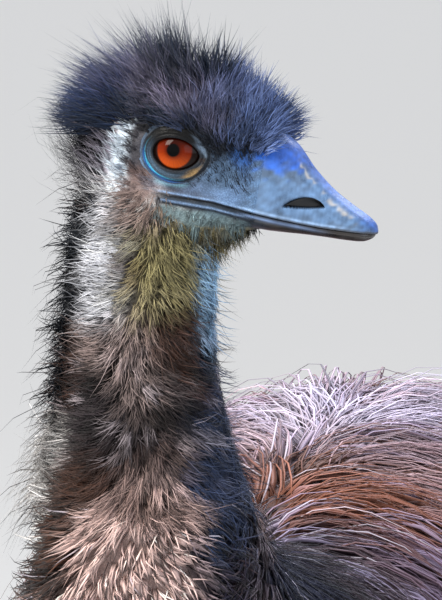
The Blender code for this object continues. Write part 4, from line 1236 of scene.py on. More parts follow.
@dataclass(frozen=True)
class Cut:
    """How a tuft is drawn out to strands.

    Lengths are in metres. Gather is how far the strands draw together toward the tip, under how
    much wider the lowest strand is, shafts and pale the shares of dark strands and of pale strands that
    are painted highlights, arch how far each turns down the flank on its way, and loose how far the strands part.
    """

    strands: int
    width: float
    spread: float
    rings: int = 3
    gather: float = 0.35
    frizz: float = 0.0012
    under: float = 2.6
    stray: float = 0.05
    stray_lift: float = 0.012
    crawl: float = 1.0
    tip: float = 0.60
    shafts: float = 0.0
    curl: float = 0.20
    pale: float = 0.0
    contrast: float = 0.26
    arch: float = 0.0
    loose: float = 1.0


@dataclass
class Coat:
    """The feathers: every tuft is a few tapered closed strands laid along the body."""

    name: str
    form: Form
    cut: Cut
    seed: int

    def scatter(self, count: int, ranges: tuple[float, float, float, float],
                density: Callable[[Array, Array, Array], Array]) -> tuple[Array, Array]:
        """Roots spread evenly over the surface.

        Args:
            count: about how many tufts would stand where the density is 1.
            ranges: the shares and the angles between which they stand.
            density: from 0 to 1, for shares, angles and points.

        Returns:
            The shares and the angles.
        """
        draw = np.random.default_rng(self.seed)
        index = np.arange(count * 5) + draw.uniform(0, 1)
        low, high, first, last = ranges
        share = low + (high - low) * ((index * 0.8191725134) % 1.0)
        angle = first + (last - first) * ((index * 0.6710436067) % 1.0)
        here, _, down, onward = self.form.axes(share, angle)
        area = np.linalg.norm(down, axis=-1) * np.linalg.norm(onward, axis=-1)
        chance = area / area.max() * density(share, angle, here)
        chance *= count / max(chance.sum(), 1e-9) if chance.sum() > count else 1.0
        keep = (index * 0.5497004779) % 1.0 < chance
        return share[keep], angle[keep]

    def paths(self, tufts: Tufts, steps: int = 24) -> tuple[Array, Array, Array]:
        """Follows the lie of the feathers from each root.

        Args:
            tufts: the tufts.
            steps: into how many steps each is divided.

        Returns:
            Centres, ways across and ways out, at each ring and at the tip.
        """
        share, angle = tufts.share.copy(), tufts.angle.copy()
        side = np.where(np.sin(angle) >= 0, 1.0, -1.0)
        marks = np.round(np.linspace(0, steps, self.cut.rings + 1)).astype(int)
        centres, outs = [], []
        root = self.form.point(share, angle)
        for step in range(steps + 1):
            here, out, down, onward = self.form.axes(share, angle)
            if step in marks:
                t = step / steps
                rise = tufts.lift * (0.15 + 0.85 * t) * ease(np.full_like(share, t), -0.1, 0.35)
                place = here + out * (rise + 0.0006 - 0.0022 * (t == 0))[:, None] + tufts.bend * t * t
                loose = root + out * rise[:, None] + tufts.drift * t + tufts.bend * t * t
                held = np.linalg.norm(tufts.drift, axis=-1) / np.maximum(tufts.length, 1e-9)
                held = np.clip(held, 0.0, 1.0) * ease(np.full_like(share, t), -0.25, 0.9)
                centres.append(place + (loose - place) * held[:, None])
                outs.append(out)
            way = self.form.hair_way(share, angle) + tufts.turn + self.cut.arch * (step / steps - 0.4)
            size = tufts.length * self.cut.crawl / steps
            share = share - size * np.cos(way) / np.linalg.norm(down, axis=-1) * self.heading()
            share = np.clip(share, 0.0, 1.0 - NEAR)
            angle = angle + side * size * np.sin(way) / np.linalg.norm(onward, axis=-1)
        centre, out = np.stack(centres, 1), np.stack(outs, 1)
        along = unit(np.gradient(centre, axis=1))
        across = unit(np.cross(along, out))
        return centre, across, unit(np.cross(across, along))

    def heading(self) -> float:
        """1 where down the line means a smaller share, and -1 on the legs."""
        return -1.0 if isinstance(self.form, LegForm) else 1.0

    def draw_out(self, tufts: Tufts) -> tuple[Array, Array, Array, Array, Array, Array]:
        """Draws every tuft out to its strands.

        Args:
            tufts: the tufts.

        Returns:
            Centres, ways across, ways out, half widths, colours and places on the unwrap.
        """
        cut, draw = self.cut, np.random.default_rng(self.seed + 1)
        centre, across, out = self.paths(tufts)
        count, rings = len(tufts.share), cut.rings + 1
        t = np.linspace(0, 1, rings)[None, None, :, None]
        shape = (count, cut.strands, 1, 1)
        under = np.zeros(shape)
        under[:, 0] = 1.0
        free = 1 - under
        offset = draw.normal(0, cut.spread, shape) * free
        climb = (0.45 + cut.loose * draw.uniform(-0.3, 0.55, shape)) * free
        scale = draw.uniform(0.72, 1.12, shape) * free + 0.85 * under
        curl = draw.normal(0, cut.curl, shape) * free * tufts.length[:, None, None, None]
        shaft = (draw.random(shape) < cut.shafts) * free
        scale = scale * (1 + 0.22 * shaft)
        wild = (draw.random(shape) < cut.stray) * free
        phase = draw.uniform(0, math.tau, shape)
        lift = tufts.lift[:, None, None, None]
        base, side_way, up = centre[:, None], across[:, None], out[:, None]
        start = base[:, :, :1]
        flow = start + (base - start) * scale
        gather = 1 - cut.gather * t
        wave = cut.frizz * np.sin(phase + 4.0 * t) * ease(t, 0.1, 0.9)
        place = flow + side_way * (offset * gather + curl * t**2 + wave * free)
        place = place + up * ((climb - 0.45) * lift * ease(t, 0.0, 0.6) * free - 0.10 * lift * under)
        place = place + up * (wild * cut.stray_lift * t**1.6) + side_way * (wild * curl * t * 1.5)
        width = cut.width / 2 * (1 + (cut.under - 1) * under - 0.3 * shaft) * draw.uniform(0.7, 1.3, shape)
        taper = np.interp(np.linspace(0, 1, rings), (0, 0.12, 0.5, 1.0), (0.55, 1.0, 0.85, 0.30))
        width = (width * taper[None, None, :, None])[..., 0]
        # Each strand's tone varies at random, and the lowest strand is darker: painted shade under the tuft.
        shade = draw.normal(0, cut.contrast, shape) * free - 0.18 * under
        tone = np.clip(1 + shade, 0.25, 1.9) * (1 - (1 - cut.tip) * ease(t, 0.45, 1.0))
        # Darker toward the root: painted shade deep in the coat.
        tone = tone * (0.68 + 0.32 * ease(t, 0.0, 0.35))
        colour = tufts.colour[:, None, None, :] * tone
        colour = colour + (linear("#100E10") - colour) * 0.9 * shaft
        # A share of strands is mixed toward pale lilac white as painted highlights.
        painted_highlight = (draw.random(shape) < cut.pale) * free * (1 - shaft)
        colour = colour + (linear("#D6CEDC") * tone - colour) * 0.6 * painted_highlight
        flat = (-1, rings)
        return (
            place.reshape(*flat, 3), np.broadcast_to(side_way, place.shape).reshape(*flat, 3),
            np.broadcast_to(up, place.shape).reshape(*flat, 3), width.reshape(flat),
            np.broadcast_to(colour, place.shape).reshape(*flat, 3),
            np.repeat(tufts.uv, cut.strands, axis=0),
        )

    def build(self, tufts: Tufts, finish: bpy.types.Material) -> list[bpy.types.Object]:
        """Makes the coat's pieces.

        Args:
            tufts: the tufts.
            finish: the feathers' material.

        Returns:
            The pieces, each under the limit of triangles.
        """
        rows = self.draw_out(tufts)
        each = 6 * (self.cut.rings - 1) + 4
        most = PIECE_TRIANGLES // each
        total = len(rows[0])
        parts = max(1, math.ceil(total / most))
        made = []
        for part in range(parts):
            chosen = [row[part::parts] for row in rows]
            name = self.name if parts == 1 else f"{self.name}_{part + 1}"
            made.append(weave(name, chosen, finish))
        return made


def weave(name: str, rows: list[Array], finish: bpy.types.Material) -> bpy.types.Object:
    """Makes one mesh of closed three-sided strands from arrays.

    Args:
        name: the piece's name.
        rows: centres, ways across, ways out, half widths, colours and places on the unwrap.
        finish: its material.

    Returns:
        The object.
    """
    centre, across, out, half, colour, uv = rows
    count, rings = half.shape
    body = rings - 1
    wide = across[:, :body] * half[:, :body, None]
    high = out[:, :body] * (0.55 * half[:, :body, None])
    place = centre[:, :body]
    corners = np.stack((place - wide, place + wide, place + high), 2).reshape(count, body * 3, 3)
    points = np.concatenate((corners, centre[:, body:]), 1).reshape(-1, 3) + SHIFT
    shades = np.concatenate((np.repeat(colour[:, :body], 3, axis=1), colour[:, body:]), 1).reshape(-1, 3)
    quads = []
    for ring in range(body - 1):
        for side in range(3):
            low, on = 3 * ring + side, 3 * ring + (side + 1) % 3
            quads.append((low + 3, on + 3, on, low))
    last = 3 * (body - 1)
    ends = [(last + (side + 1) % 3, last + side, 3 * body) for side in range(3)] + [(0, 1, 2)]
    step = np.arange(count)[:, None, None] * (3 * body + 1)
    loops = np.concatenate(((step + np.array(quads)).reshape(count, -1),
                            (step + np.array(ends)).reshape(count, -1)), 1).ravel()
    sizes = np.tile([4] * len(quads) + [3] * len(ends), count)
    data = bpy.data.meshes.new(name)
    data.vertices.add(len(points))
    data.vertices.foreach_set("co", points.astype(np.float32).ravel())
    data.loops.add(len(loops))
    data.loops.foreach_set("vertex_index", loops.astype(np.int32))
    data.polygons.add(len(sizes))
    data.polygons.foreach_set("loop_start", np.concatenate(([0], np.cumsum(sizes)[:-1])).astype(np.int32))
    data.update(calc_edges=True)
    marks = data.attributes.new(MARKING, "FLOAT_COLOR", "POINT")
    full = np.concatenate((np.clip(shades, 0, 1), np.ones((len(shades), 1))), 1)
    marks.data.foreach_set("color", full.astype(np.float32).ravel())
    layer = data.uv_layers.new(name=BAKE_MAP)
    local = loops % (3 * body + 1)
    spot = np.repeat(uv, len(quads) * 4 + len(ends) * 3, axis=0)
    spot = spot + PATCH * np.stack(((local % 3) / 2 - 0.5, local / (3 * body) - 0.5), -1)
    layer.data.foreach_set("uv", np.clip(spot, 0.0, 1.0).astype(np.float32).ravel())
    data.validate()
    data.shade_smooth()
    return shown(name, data, finish)


LENGTHS = np.array((
    (0.0, 0.130), (0.50, 0.130), (0.62, 0.105), (0.72, 0.050), (0.77, 0.028), (0.81, 0.020), (0.84, 0.018), (0.88, 0.0150),
    (0.93, 0.0120), (1.0, 0.0110),
))
DEPTHS = np.array(((0.0, 0.032), (0.50, 0.028), (0.72, 0.018), (0.86, 0.008), (1.0, 0.005)))


@dataclass
class Plumes:
    """All of the feathers, from the crest to the thighs."""

    plumage: Plumage = field(default_factory=Plumage)
    trunk: TrunkForm = field(default_factory=TrunkForm)
    head: HeadForm = field(default_factory=HeadForm)

    def trunk_tufts(self, coat: Coat, count: int, low: float, high: float) -> Tufts:
        """Tufts of a stretch of the trunk or neck.

        Args:
            coat: their coat.
            count: about how many.
            low: the first share of the body line.
            high: the last.

        Returns:
            The tufts.
        """
        draw = np.random.default_rng(coat.seed + 2)

        def density(share: Array, angle: Array, _: Array) -> Array:
            off = np.abs(np.arctan2(np.sin(angle), np.cos(angle)))
            throat = 1 - 0.6 * bump(off, 2.75, 0.28) * bump(share, 0.925, 0.035)
            wide = 0.16 + 0.24 * ease(share, 0.45, 0.60)
            back = 1 + 2.2 * np.exp(-(off / wide) ** 2) * (1 - ease(share, 0.70, 0.75))
            return throat * back * (1 - 0.35 * (np.sin(angle) > 0.2) * ease(share, 0.72, 0.78))

        share, angle = coat.scatter(count, (low, high, 0.0, math.tau), density)
        here = self.trunk.point(share, angle)
        size = len(share)
        side = np.sign(np.sin(angle))
        off = np.abs(np.arctan2(np.sin(angle), np.cos(angle)))
        nape = (1 - ease(off, 0.25, 0.95)) * ease(share, 0.78, 0.86)
        length = np.interp(share, *LENGTHS.T) * draw.uniform(0.75, 1.2, size) * (1 + 1.2 * nape)
        fall = self.trunk.hang(share, angle) * length
        drift = np.stack((0.05 * side, np.full_like(side, 0.22), np.full_like(side, -1.0)), -1)
        clump = mottle(here, 0.05, coat.seed + 5)
        lift = np.interp(share, *DEPTHS.T) * draw.uniform(0.35, 1.0, size)
        lift = lift * (1 - 0.75 * ease(off, 2.0, 2.5) * bump(share, 0.905, 0.060))
        lift = lift + 0.45 * length * nape * draw.uniform(0.3, 1.2, size)
        back = 1 - ease(share, 0.66, 0.72)
        lift = lift * (1 - 0.40 * back * bump(off, 1.5, 0.8)) + 0.017 * bump(off, 0.0, 0.5) * bump(share, 0.28, 0.13)
        streak = draw.normal(0, 1, size) + 0.8 * mottle(here, 0.018, 57)
        colour = self.plumage.trunk(share, angle, here)
        # Tufts whose streak runs high are mixed toward lilac as painted highlights, most on the back; tufts whose
        # streak runs low are darkened.
        colour = colour + (linear("#B8ACCE") - colour) * (0.5 * back * ease(streak, 0.5, 1.7))[:, None]
        colour = colour * (1 - (0.35 + 0.10 * back) * ease(-streak, 0.4, 1.6))[:, None]
        sag = -length * (0.05 + 0.22 * back + 0.30 * nape * draw.uniform(0.2, 1.3, size))
        parting = bump(off, 0.0, 0.16) * back
        turn = 0.24 * clump * (1 - 0.4 * back) + 0.26 * mottle(here, 0.016, coat.seed + 7) * (1 - back)
        turn = turn + draw.normal(0, 0.11, size) * (1 - 0.5 * back)
        turn = turn - parting * draw.uniform(0.0, 1.0, size) * self.trunk.hair_way(share, angle)
        _, _, _, onward = self.trunk.axes(share, angle)
        arc = unit(onward) * (length * back * (0.12 * mottle(here, 0.07, 51) + draw.normal(0, 0.05, size)))[:, None]
        return Tufts(
            share, angle, length, turn, lift,
            drift * fall[:, None], np.stack((0 * sag, 0 * sag, sag), -1) + arc,
            colour, self.trunk.unwrap(share, angle),
        )

    def head_tufts(self, coat: Coat, count: int) -> Tufts:
        """The short feathers of the face, cheeks, throat and back of the head."""
        draw = np.random.default_rng(coat.seed + 2)

        def density(share: Array, angle: Array, _: Array) -> Array:
            local = self.head.local(share, angle)
            x, z = local[:, 0], local[:, 2]
            ring = np.hypot((x - LID_CENTRE[0]) / LID_OPENING[0], (z - LID_CENTRE[1]) / (LID_OPENING[1] * 1.2))
            below = mouth_height(x) - z
            front = ease(x, GAPE_CORNER[0] - 0.001, GAPE_CORNER[0] + 0.004)
            lores = 1 - ease(x, 0.006, 0.013) * (1 - ease(z, 0.010, 0.018)) * (1 - ease(below, 0.004, 0.007))
            cheek = 1 - front * (1 - ease(below, 0.0050, 0.0070)) * (1 - ease(z, 0.004, 0.008))
            over = ease(z, 0.003, 0.008)
            chin = 1 - ease(x, 0.034, 0.047) * ease(-z, 0.020, 0.030)
            bare = 1 - 0.6 * ease(x, -0.006, 0.004) * (1 - ease(below, 0.011, 0.014)) * ease(below, 0.0, 0.004)
            return ease(ring, 1.65 - 0.38 * over, 1.90 - 0.42 * over) * lores * cheek * chin * bare

        share, angle = coat.scatter(count, (0.02, 0.992, 0.0, math.tau), density)
        local = self.head.local(share, angle)
        x, z = local[:, 0], local[:, 2]
        size = len(share)
        low = ease(-z, 0.028, 0.045)
        back = ease(-x, 0.034, 0.046)
        length = draw.uniform(0.7, 1.25, size) * (0.0080 + 0.0060 * low + 0.0230 * back)
        length *= 1 - 0.5 * ease(x, 0.028, 0.045)
        length *= 1 - 0.5 * ease(x, -0.006, 0.004) * (1 - ease(mouth_height(x) - z, 0.011, 0.014))
        throat = bump(x, 0.018, 0.018) * ease(-z, 0.036, 0.046)
        length += 0.011 * throat
        return Tufts(
            share, angle, length, draw.normal(0, 0.20, size),
            draw.uniform(0.4, 1.2, size) * (0.0016 + 0.0020 * low + 0.0210 * back), np.zeros((size, 3)),
            np.stack((0 * x, 0 * x, -(0.25 * low + 0.55 * throat) * length), -1), self.plumage.head(local),
            self.head.unwrap(share, angle),
        )

    def bristle_tufts(self, coat: Coat, count: int) -> Tufts:
        """The sparse dark bristles of the lores, which thicken toward the crest."""
        draw = np.random.default_rng(coat.seed + 2)

        def density(share: Array, angle: Array, _: Array) -> Array:
            local = self.head.local(share, angle)
            x, z = local[:, 0], local[:, 2]
            ring = np.hypot((x - LID_CENTRE[0]) / LID_OPENING[0], (z - LID_CENTRE[1]) / (LID_OPENING[1] * 1.2))
            near = 0.12 + 0.88 * ease(z + 0.25 * (0.030 - x), -0.002, 0.010)
            place = ease(x, 0.008, 0.016) * (1 - ease(x, 0.038, 0.046)) * ease(z, -0.019, -0.014)
            return near * place * (1 - ease(z, 0.014, 0.018)) * ease(ring, 1.35, 1.6)

        share, angle = coat.scatter(count, (0.02, 0.992, 0.0, math.tau), density)
        local = self.head.local(share, angle)
        size = len(share)
        high = ease(local[:, 2], -0.004, 0.010)
        return Tufts(
            share, angle, draw.uniform(0.6, 1.2, size) * (0.0055 + 0.0065 * high),
            draw.normal(0, 0.15, size) - 0.2 - 0.25 * ease(local[:, 0], 0.020, 0.040),
            draw.uniform(0.4, 1.3, size) * (0.0012 + 0.0020 * high), np.zeros((size, 3)), np.zeros((size, 3)),
            np.broadcast_to(linear("#121824"), (size, 3)), self.head.unwrap(share, angle),
        )

    def crest_tufts(self, coat: Coat, count: int) -> Tufts:
        """The hair-like feathers that stand up on the crown and lean over the bill's root."""
        draw = np.random.default_rng(coat.seed + 2)

        def density(share: Array, angle: Array, _: Array) -> Array:
            local = self.head.local(share, angle)
            knots = (-0.045, -0.025, 0.010, 0.020, 0.030, 0.040, 0.050)
            edge = np.interp(local[:, 0], knots, (0.000, 0.0118, 0.0120, 0.0090, 0.0045, 0.0045, 0.0070))
            return ease(local[:, 2] - edge, -0.001, 0.001) * (0.75 + 0.25 * ease(local[:, 0], 0.015, 0.030))

        share, angle = coat.scatter(count, (0.02, 0.992, 0.0, math.tau), density)
        local = self.head.local(share, angle)
        x, z = local[:, 0], local[:, 2]
        size = len(share)
        side = ease(np.abs(local[:, 1]), 0.010, 0.024) * ease(x, -0.040, -0.025)
        length = 0.0310 * draw.uniform(0.80, 1.02, size) * (1 - 0.50 * side)
        length *= (1 - 0.34 * ease(x, 0.010, 0.040)) * (1 - 0.20 * ease(-x, 0.034, 0.045))
        length *= 1 + 0.24 * bump(x, -0.014, 0.022)
        leans = (-1.20, -0.85, -0.50, -0.25, -0.05, 0.30, 0.75)
        lean = np.interp(x, (-0.045, -0.03, -0.01, 0.010, 0.026, 0.038, 0.048), leans)
        lean = lean + draw.normal(0, 0.16, size) + 0.16 * mottle(local, 0.014, coat.seed + 6)
        outward = np.sin(angle) * (0.38 - 0.12 * side) + draw.normal(0, 0.10, size)
        way = unit(np.stack((np.sin(lean), outward, np.cos(lean)), -1))
        sweep = np.stack((0.28 * np.sin(lean * 1.2), 0 * x, -0.04 - 0.22 * np.abs(np.sin(lean)) * (x < 0.02)), -1)
        sweep = sweep + draw.normal(0, 0.16, (size, 3)) + 0.20 * np.stack(
            [mottle(local, 0.012, seed) for seed in (41, 42, 43)], -1)
        cos, sin = math.cos(HEAD_PITCH), math.sin(HEAD_PITCH)
        turn = np.array(((cos, 0.0, sin), (0.0, 1.0, 0.0), (-sin, 0.0, cos)))
        return Tufts(
            share, angle, length, np.zeros(size), np.zeros(size), way @ turn.T * length[:, None],
            sweep @ turn.T * length[:, None], self.plumage.crest(local), self.head.unwrap(share, angle),
        )

    def thigh_tufts(self, coat: Coat, count: int) -> Tufts:
        """The feathers of one thigh."""
        draw = np.random.default_rng(coat.seed + 2)
        share, angle = coat.scatter(count, (0.10, 0.385, 0.0, math.tau), lambda s, a, p: np.ones_like(s))
        here = coat.form.point(share, angle)
        size = len(share)
        return Tufts(
            share, angle, 0.060 * draw.uniform(0.6, 1.1, size) * (1 - 0.45 * ease(share, 0.30, 0.39)),
            draw.normal(0, 0.12, size), 0.008 * draw.uniform(0.3, 1.0, size), np.zeros((size, 3)),
            np.zeros((size, 3)), self.plumage.thigh(here), coat.form.unwrap(share, angle),
        )

    def build(self, finish: bpy.types.Material) -> list[bpy.types.Object]:
        """Grows the whole coat.

        Args:
            finish: the feathers' material.

        Returns:
            The pieces.
        """
        made = []
        for name, cut, seed, count, low, high in (
            ("coat_neck_upper", Cut(8, 0.00054, 0.0021, frizz=0.0008, shafts=0.08, curl=0.24, contrast=0.20, loose=0.7), 11,
             2700, 0.845, 0.995),
            ("coat_neck_lower", Cut(6, 0.0011, 0.0028, shafts=0.22, tip=0.15, curl=0.20, under=4.0, pale=0.02, gather=0.4, stray_lift=0.006), 12,
             2600, 0.690, 0.850),
            ("coat_trunk", Cut(6, 0.0014, 0.0060, 5, frizz=0.0008, stray=0.01, stray_lift=0.003, curl=0.035, pale=0.05,
                               contrast=0.24, arch=0.9, gather=0.5, under=4.2, loose=0.4), 13, 2600, 0.010, 0.705),
        ):
            coat = Coat(name, self.trunk, cut, seed)
            made += coat.build(self.trunk_tufts(coat, count, low, high), finish)
        face = Coat("coat_face", self.head, Cut(5, 0.00036, 0.0011, frizz=0.0004, under=2.4, stray_lift=0.003, shafts=0.06), 14)
        made += face.build(self.head_tufts(face, 2000), finish)
        bristles = Coat("coat_bristles", self.head, Cut(3, 0.00030, 0.0012, 2, frizz=0.0002, under=1.0, stray_lift=0.001), 19)
        made += bristles.build(self.bristle_tufts(bristles, 18000), finish)
        crest = Coat("coat_crest", self.head, Cut(5, 0.00058, 0.0018, 3, -0.2, 0.0016, 2.2, crawl=0.05, contrast=0.45,
                                                   stray_lift=0.004, curl=0.16), 15)
        made += crest.build(self.crest_tufts(crest, 5200), finish)
        for side, label in ((1, "left"), (-1, "right")):
            form = LegForm(side, -side * STRIDE / 2, (0.62 + 0.1 * side, 0.51, 0.68 + 0.1 * side, 0.99))
            thigh = Coat(f"coat_thigh_{label}", form, Cut(5, 0.0016, 0.0050), 16 + side)
            made += thigh.build(self.thigh_tufts(thigh, 420), finish)
        return made


def add_node(tree: bpy.types.NodeTree, kind: str, settings: dict[str, Any] | None = None,
             **links: Any) -> bpy.types.Node:
    """Adds one shader node.

    Args:
        tree: the material's tree.
        kind: the node's type.
        settings: its own properties.
        links: for each input, spaces as underscores, a value or the output that feeds it.

    Returns:
        The node.
    """
    node = tree.nodes.new(kind)
    for key, value in (settings or {}).items():
        setattr(node, key, value)
    for key, value in links.items():
        socket = node.inputs[key.replace("_", " ")]
        if isinstance(value, bpy.types.NodeSocket):
            tree.links.new(value, socket)
        else:
            socket.default_value = value
    return node


class Surface:
    """The base of the finishes: makes a material with a principled shader."""

    name: str = ""

    def fill(self, tree: bpy.types.NodeTree, shader: bpy.types.Node) -> None:
        """Sets the shader for this surface."""
        raise NotImplementedError

    def make(self) -> bpy.types.Material:
        """The material."""
        made = bpy.data.materials.new(self.name)
        made.use_nodes = True
        tree = made.node_tree
        tree.nodes.clear()
        shader = add_node(tree, "ShaderNodeBsdfPrincipled")
        add_node(tree, "ShaderNodeOutputMaterial", Surface=shader.outputs["BSDF"])
        self.fill(tree, shader)
        return made


@dataclass(frozen=True)
class FeatherBarbs(Surface):
    """Dyed feather barbs, combed out by hand, whose colours also carry painted highlights and painted shade: soft
    sheen along each strand, no gloss of a film.
    """

    name: str = "feather barbs, combed"
    roughness: float = 0.45
    sheen: float = 0.03

    def fill(self, tree: bpy.types.NodeTree, shader: bpy.types.Node) -> None:
        """Takes the colour from the markings."""
        marks = add_node(tree, "ShaderNodeAttribute", {"attribute_name": MARKING})
        tree.links.new(marks.outputs["Color"], shader.inputs["Base Color"])
        shader.inputs["Roughness"].default_value = self.roughness
        shader.inputs["Specular IOR Level"].default_value = 0.16
        shader.inputs["Sheen Weight"].default_value = self.sheen
        shader.inputs["Sheen Roughness"].default_value = 0.35


@dataclass(frozen=True)
class BareSkin(Surface):
    """Cast and painted skin: pebbled by hand tools, so that light breaks up in small spots."""

    name: str = "painted cast skin"
    roughness: float = 0.48
    # The pebbles are about 0.8 mm across, and their relief is drawn a little coarser than real.
    pebble: float = 1200.0
    depth: float = 0.35

    def fill(self, tree: bpy.types.NodeTree, shader: bpy.types.Node) -> None:
        """Markings with pebbled relief, each pebble painted paler at its raised middle and darker at its edge, as
        painted highlight and painted shade.
        """
        marks = add_node(tree, "ShaderNodeAttribute", {"attribute_name": MARKING})
        spots = add_node(tree, "ShaderNodeTexCoord")
        cells = add_node(tree, "ShaderNodeTexVoronoi", Vector=spots.outputs["Object"], Scale=self.pebble)
        noise = add_node(tree, "ShaderNodeTexNoise", Vector=spots.outputs["Object"], Scale=260.0, Detail=4.0)
        # Paler at each pebble's middle, where the relief stands highest, and darker at its edge: painted highlight and
        # painted shade.
        light = add_node(tree, "ShaderNodeMapRange", Value=cells.outputs["Distance"], From_Min=0.1,
                         From_Max=0.7, To_Min=1.25, To_Max=0.75)
        tone = add_node(tree, "ShaderNodeVectorMath", {"operation": "SCALE"}, Scale=light.outputs["Result"])
        tree.links.new(marks.outputs["Color"], tone.inputs[0])
        tree.links.new(tone.outputs["Vector"], shader.inputs["Base Color"])
        both = add_node(tree, "ShaderNodeMath", {"operation": "SUBTRACT"})
        tree.links.new(noise.outputs["Fac"], both.inputs[0])
        tree.links.new(cells.outputs["Distance"], both.inputs[1])
        relief = add_node(tree, "ShaderNodeBump", Height=both.outputs["Value"], Strength=self.depth,
                          Distance=0.0005)
        tree.links.new(relief.outputs["Normal"], shader.inputs["Normal"])
        shader.inputs["Roughness"].default_value = self.roughness
        shader.inputs["Specular IOR Level"].default_value = 0.16
        shader.inputs["Subsurface Weight"].default_value = 0.06
        shader.inputs["Subsurface Radius"].default_value = (0.002, 0.0012, 0.0008)


@dataclass(frozen=True)
class BillHorn(Surface):
    """Horn rubbed by use: worn smooth along the ridge, with fine scratches that run to the tip."""

    name: str = "rubbed bill horn"
    roughness: float = 0.30

    def fill(self, tree: bpy.types.NodeTree, shader: bpy.types.Node) -> None:
        """Markings with scratches about 0.3 mm apart that run along the bill."""
        marks = add_node(tree, "ShaderNodeAttribute", {"attribute_name": MARKING})
        spots = add_node(tree, "ShaderNodeTexCoord")
        drawn = add_node(tree, "ShaderNodeMapping", Vector=spots.outputs["Object"], Scale=(160.0, 1400.0, 1400.0))
        lines = add_node(tree, "ShaderNodeTexNoise", Vector=drawn.outputs["Vector"], Scale=1.0, Detail=5.0)
        wear = add_node(tree, "ShaderNodeTexNoise", Vector=spots.outputs["Object"], Scale=180.0, Detail=6.0)
        light = add_node(tree, "ShaderNodeMapRange", Value=wear.outputs["Fac"], From_Min=0.3, From_Max=0.7,
                         To_Min=0.78, To_Max=1.22)
        tone = add_node(tree, "ShaderNodeVectorMath", {"operation": "SCALE"}, Scale=light.outputs["Result"])
        tree.links.new(marks.outputs["Color"], tone.inputs[0])
        tree.links.new(tone.outputs["Vector"], shader.inputs["Base Color"])
        relief = add_node(tree, "ShaderNodeBump", Height=lines.outputs["Fac"], Strength=0.25, Distance=0.0003)
        tree.links.new(relief.outputs["Normal"], shader.inputs["Normal"])
        rough = add_node(tree, "ShaderNodeMapRange", Value=wear.outputs["Fac"], From_Min=0.3, From_Max=0.7,
                         To_Min=self.roughness - 0.06, To_Max=self.roughness + 0.16)
        tree.links.new(rough.outputs["Result"], shader.inputs["Roughness"])


@dataclass(frozen=True)
class WetEye(Surface):
    """A glass eye: painted iris under a clear polished dome."""

    name: str = "glass eye"

    def fill(self, tree: bpy.types.NodeTree, shader: bpy.types.Node) -> None:
        """The painted iris under a clear coat."""
        marks = add_node(tree, "ShaderNodeAttribute", {"attribute_name": MARKING})
        tree.links.new(marks.outputs["Color"], shader.inputs["Base Color"])
        shader.inputs["Roughness"].default_value = 0.35
        shader.inputs["Specular IOR Level"].default_value = 0.0
        shader.inputs["Coat Weight"].default_value = 0.22
        shader.inputs["Coat Roughness"].default_value = 0.02


@dataclass(frozen=True)
class LegScales(Surface):
    """Dry horny scales: matt plates with dust in the joints between them."""

    name: str = "dry leg scales"
    # Scales between the plates are about 4 mm across.
    scale: float = 260.0

    def fill(self, tree: bpy.types.NodeTree, shader: bpy.types.Node) -> None:
        """Markings with raised scales and dusty joints."""
        marks = add_node(tree, "ShaderNodeAttribute", {"attribute_name": MARKING})
        spots = add_node(tree, "ShaderNodeTexCoord")
        cells = add_node(tree, "ShaderNodeTexVoronoi", {"feature": "DISTANCE_TO_EDGE"},
                         Vector=spots.outputs["Object"], Scale=self.scale)
        joint = add_node(tree, "ShaderNodeMapRange", Value=cells.outputs["Distance"], From_Min=0.0,
                         From_Max=0.12, To_Min=0.0, To_Max=1.0)
        light = add_node(tree, "ShaderNodeMapRange", Value=joint.outputs["Result"], To_Min=1.35, To_Max=0.95)
        tone = add_node(tree, "ShaderNodeVectorMath", {"operation": "SCALE"}, Scale=light.outputs["Result"])
        tree.links.new(marks.outputs["Color"], tone.inputs[0])
        tree.links.new(tone.outputs["Vector"], shader.inputs["Base Color"])
        relief = add_node(tree, "ShaderNodeBump", Height=joint.outputs["Result"], Strength=0.6, Distance=0.0006)
        tree.links.new(relief.outputs["Normal"], shader.inputs["Normal"])
        shader.inputs["Roughness"].default_value = 0.55


@dataclass(frozen=True)
class ClawHorn(Surface):
    """Dark claw horn, ground by walking: dull at the tip, a little glossy above."""

    name: str = "ground claw horn"

    def fill(self, tree: bpy.types.NodeTree, shader: bpy.types.Node) -> None:
        """The marking's dark horn."""
        marks = add_node(tree, "ShaderNodeAttribute", {"attribute_name": MARKING})
        tree.links.new(marks.outputs["Color"], shader.inputs["Base Color"])
        shader.inputs["Roughness"].default_value = 0.38


@dataclass(frozen=True)
class FloorPaper(Surface):
    """Seamless studio paper: rolled, matt and almost white."""

    name: str = "studio paper"
    colour: str = "#E9E7E4"

    def fill(self, tree: bpy.types.NodeTree, shader: bpy.types.Node) -> None:
        """A plain matt colour."""
        shader.inputs["Base Color"].default_value = (*linear(self.colour), 1.0)
        shader.inputs["Roughness"].default_value = 0.9


class Slot(Enum):
    """The slots of the pieces."""

    COAT = "coat"
    HACKLE = "hackle"
    BILL = "bill"
    EYE = "eye"
    SCALES = "scales"
    CLAW = "claw"


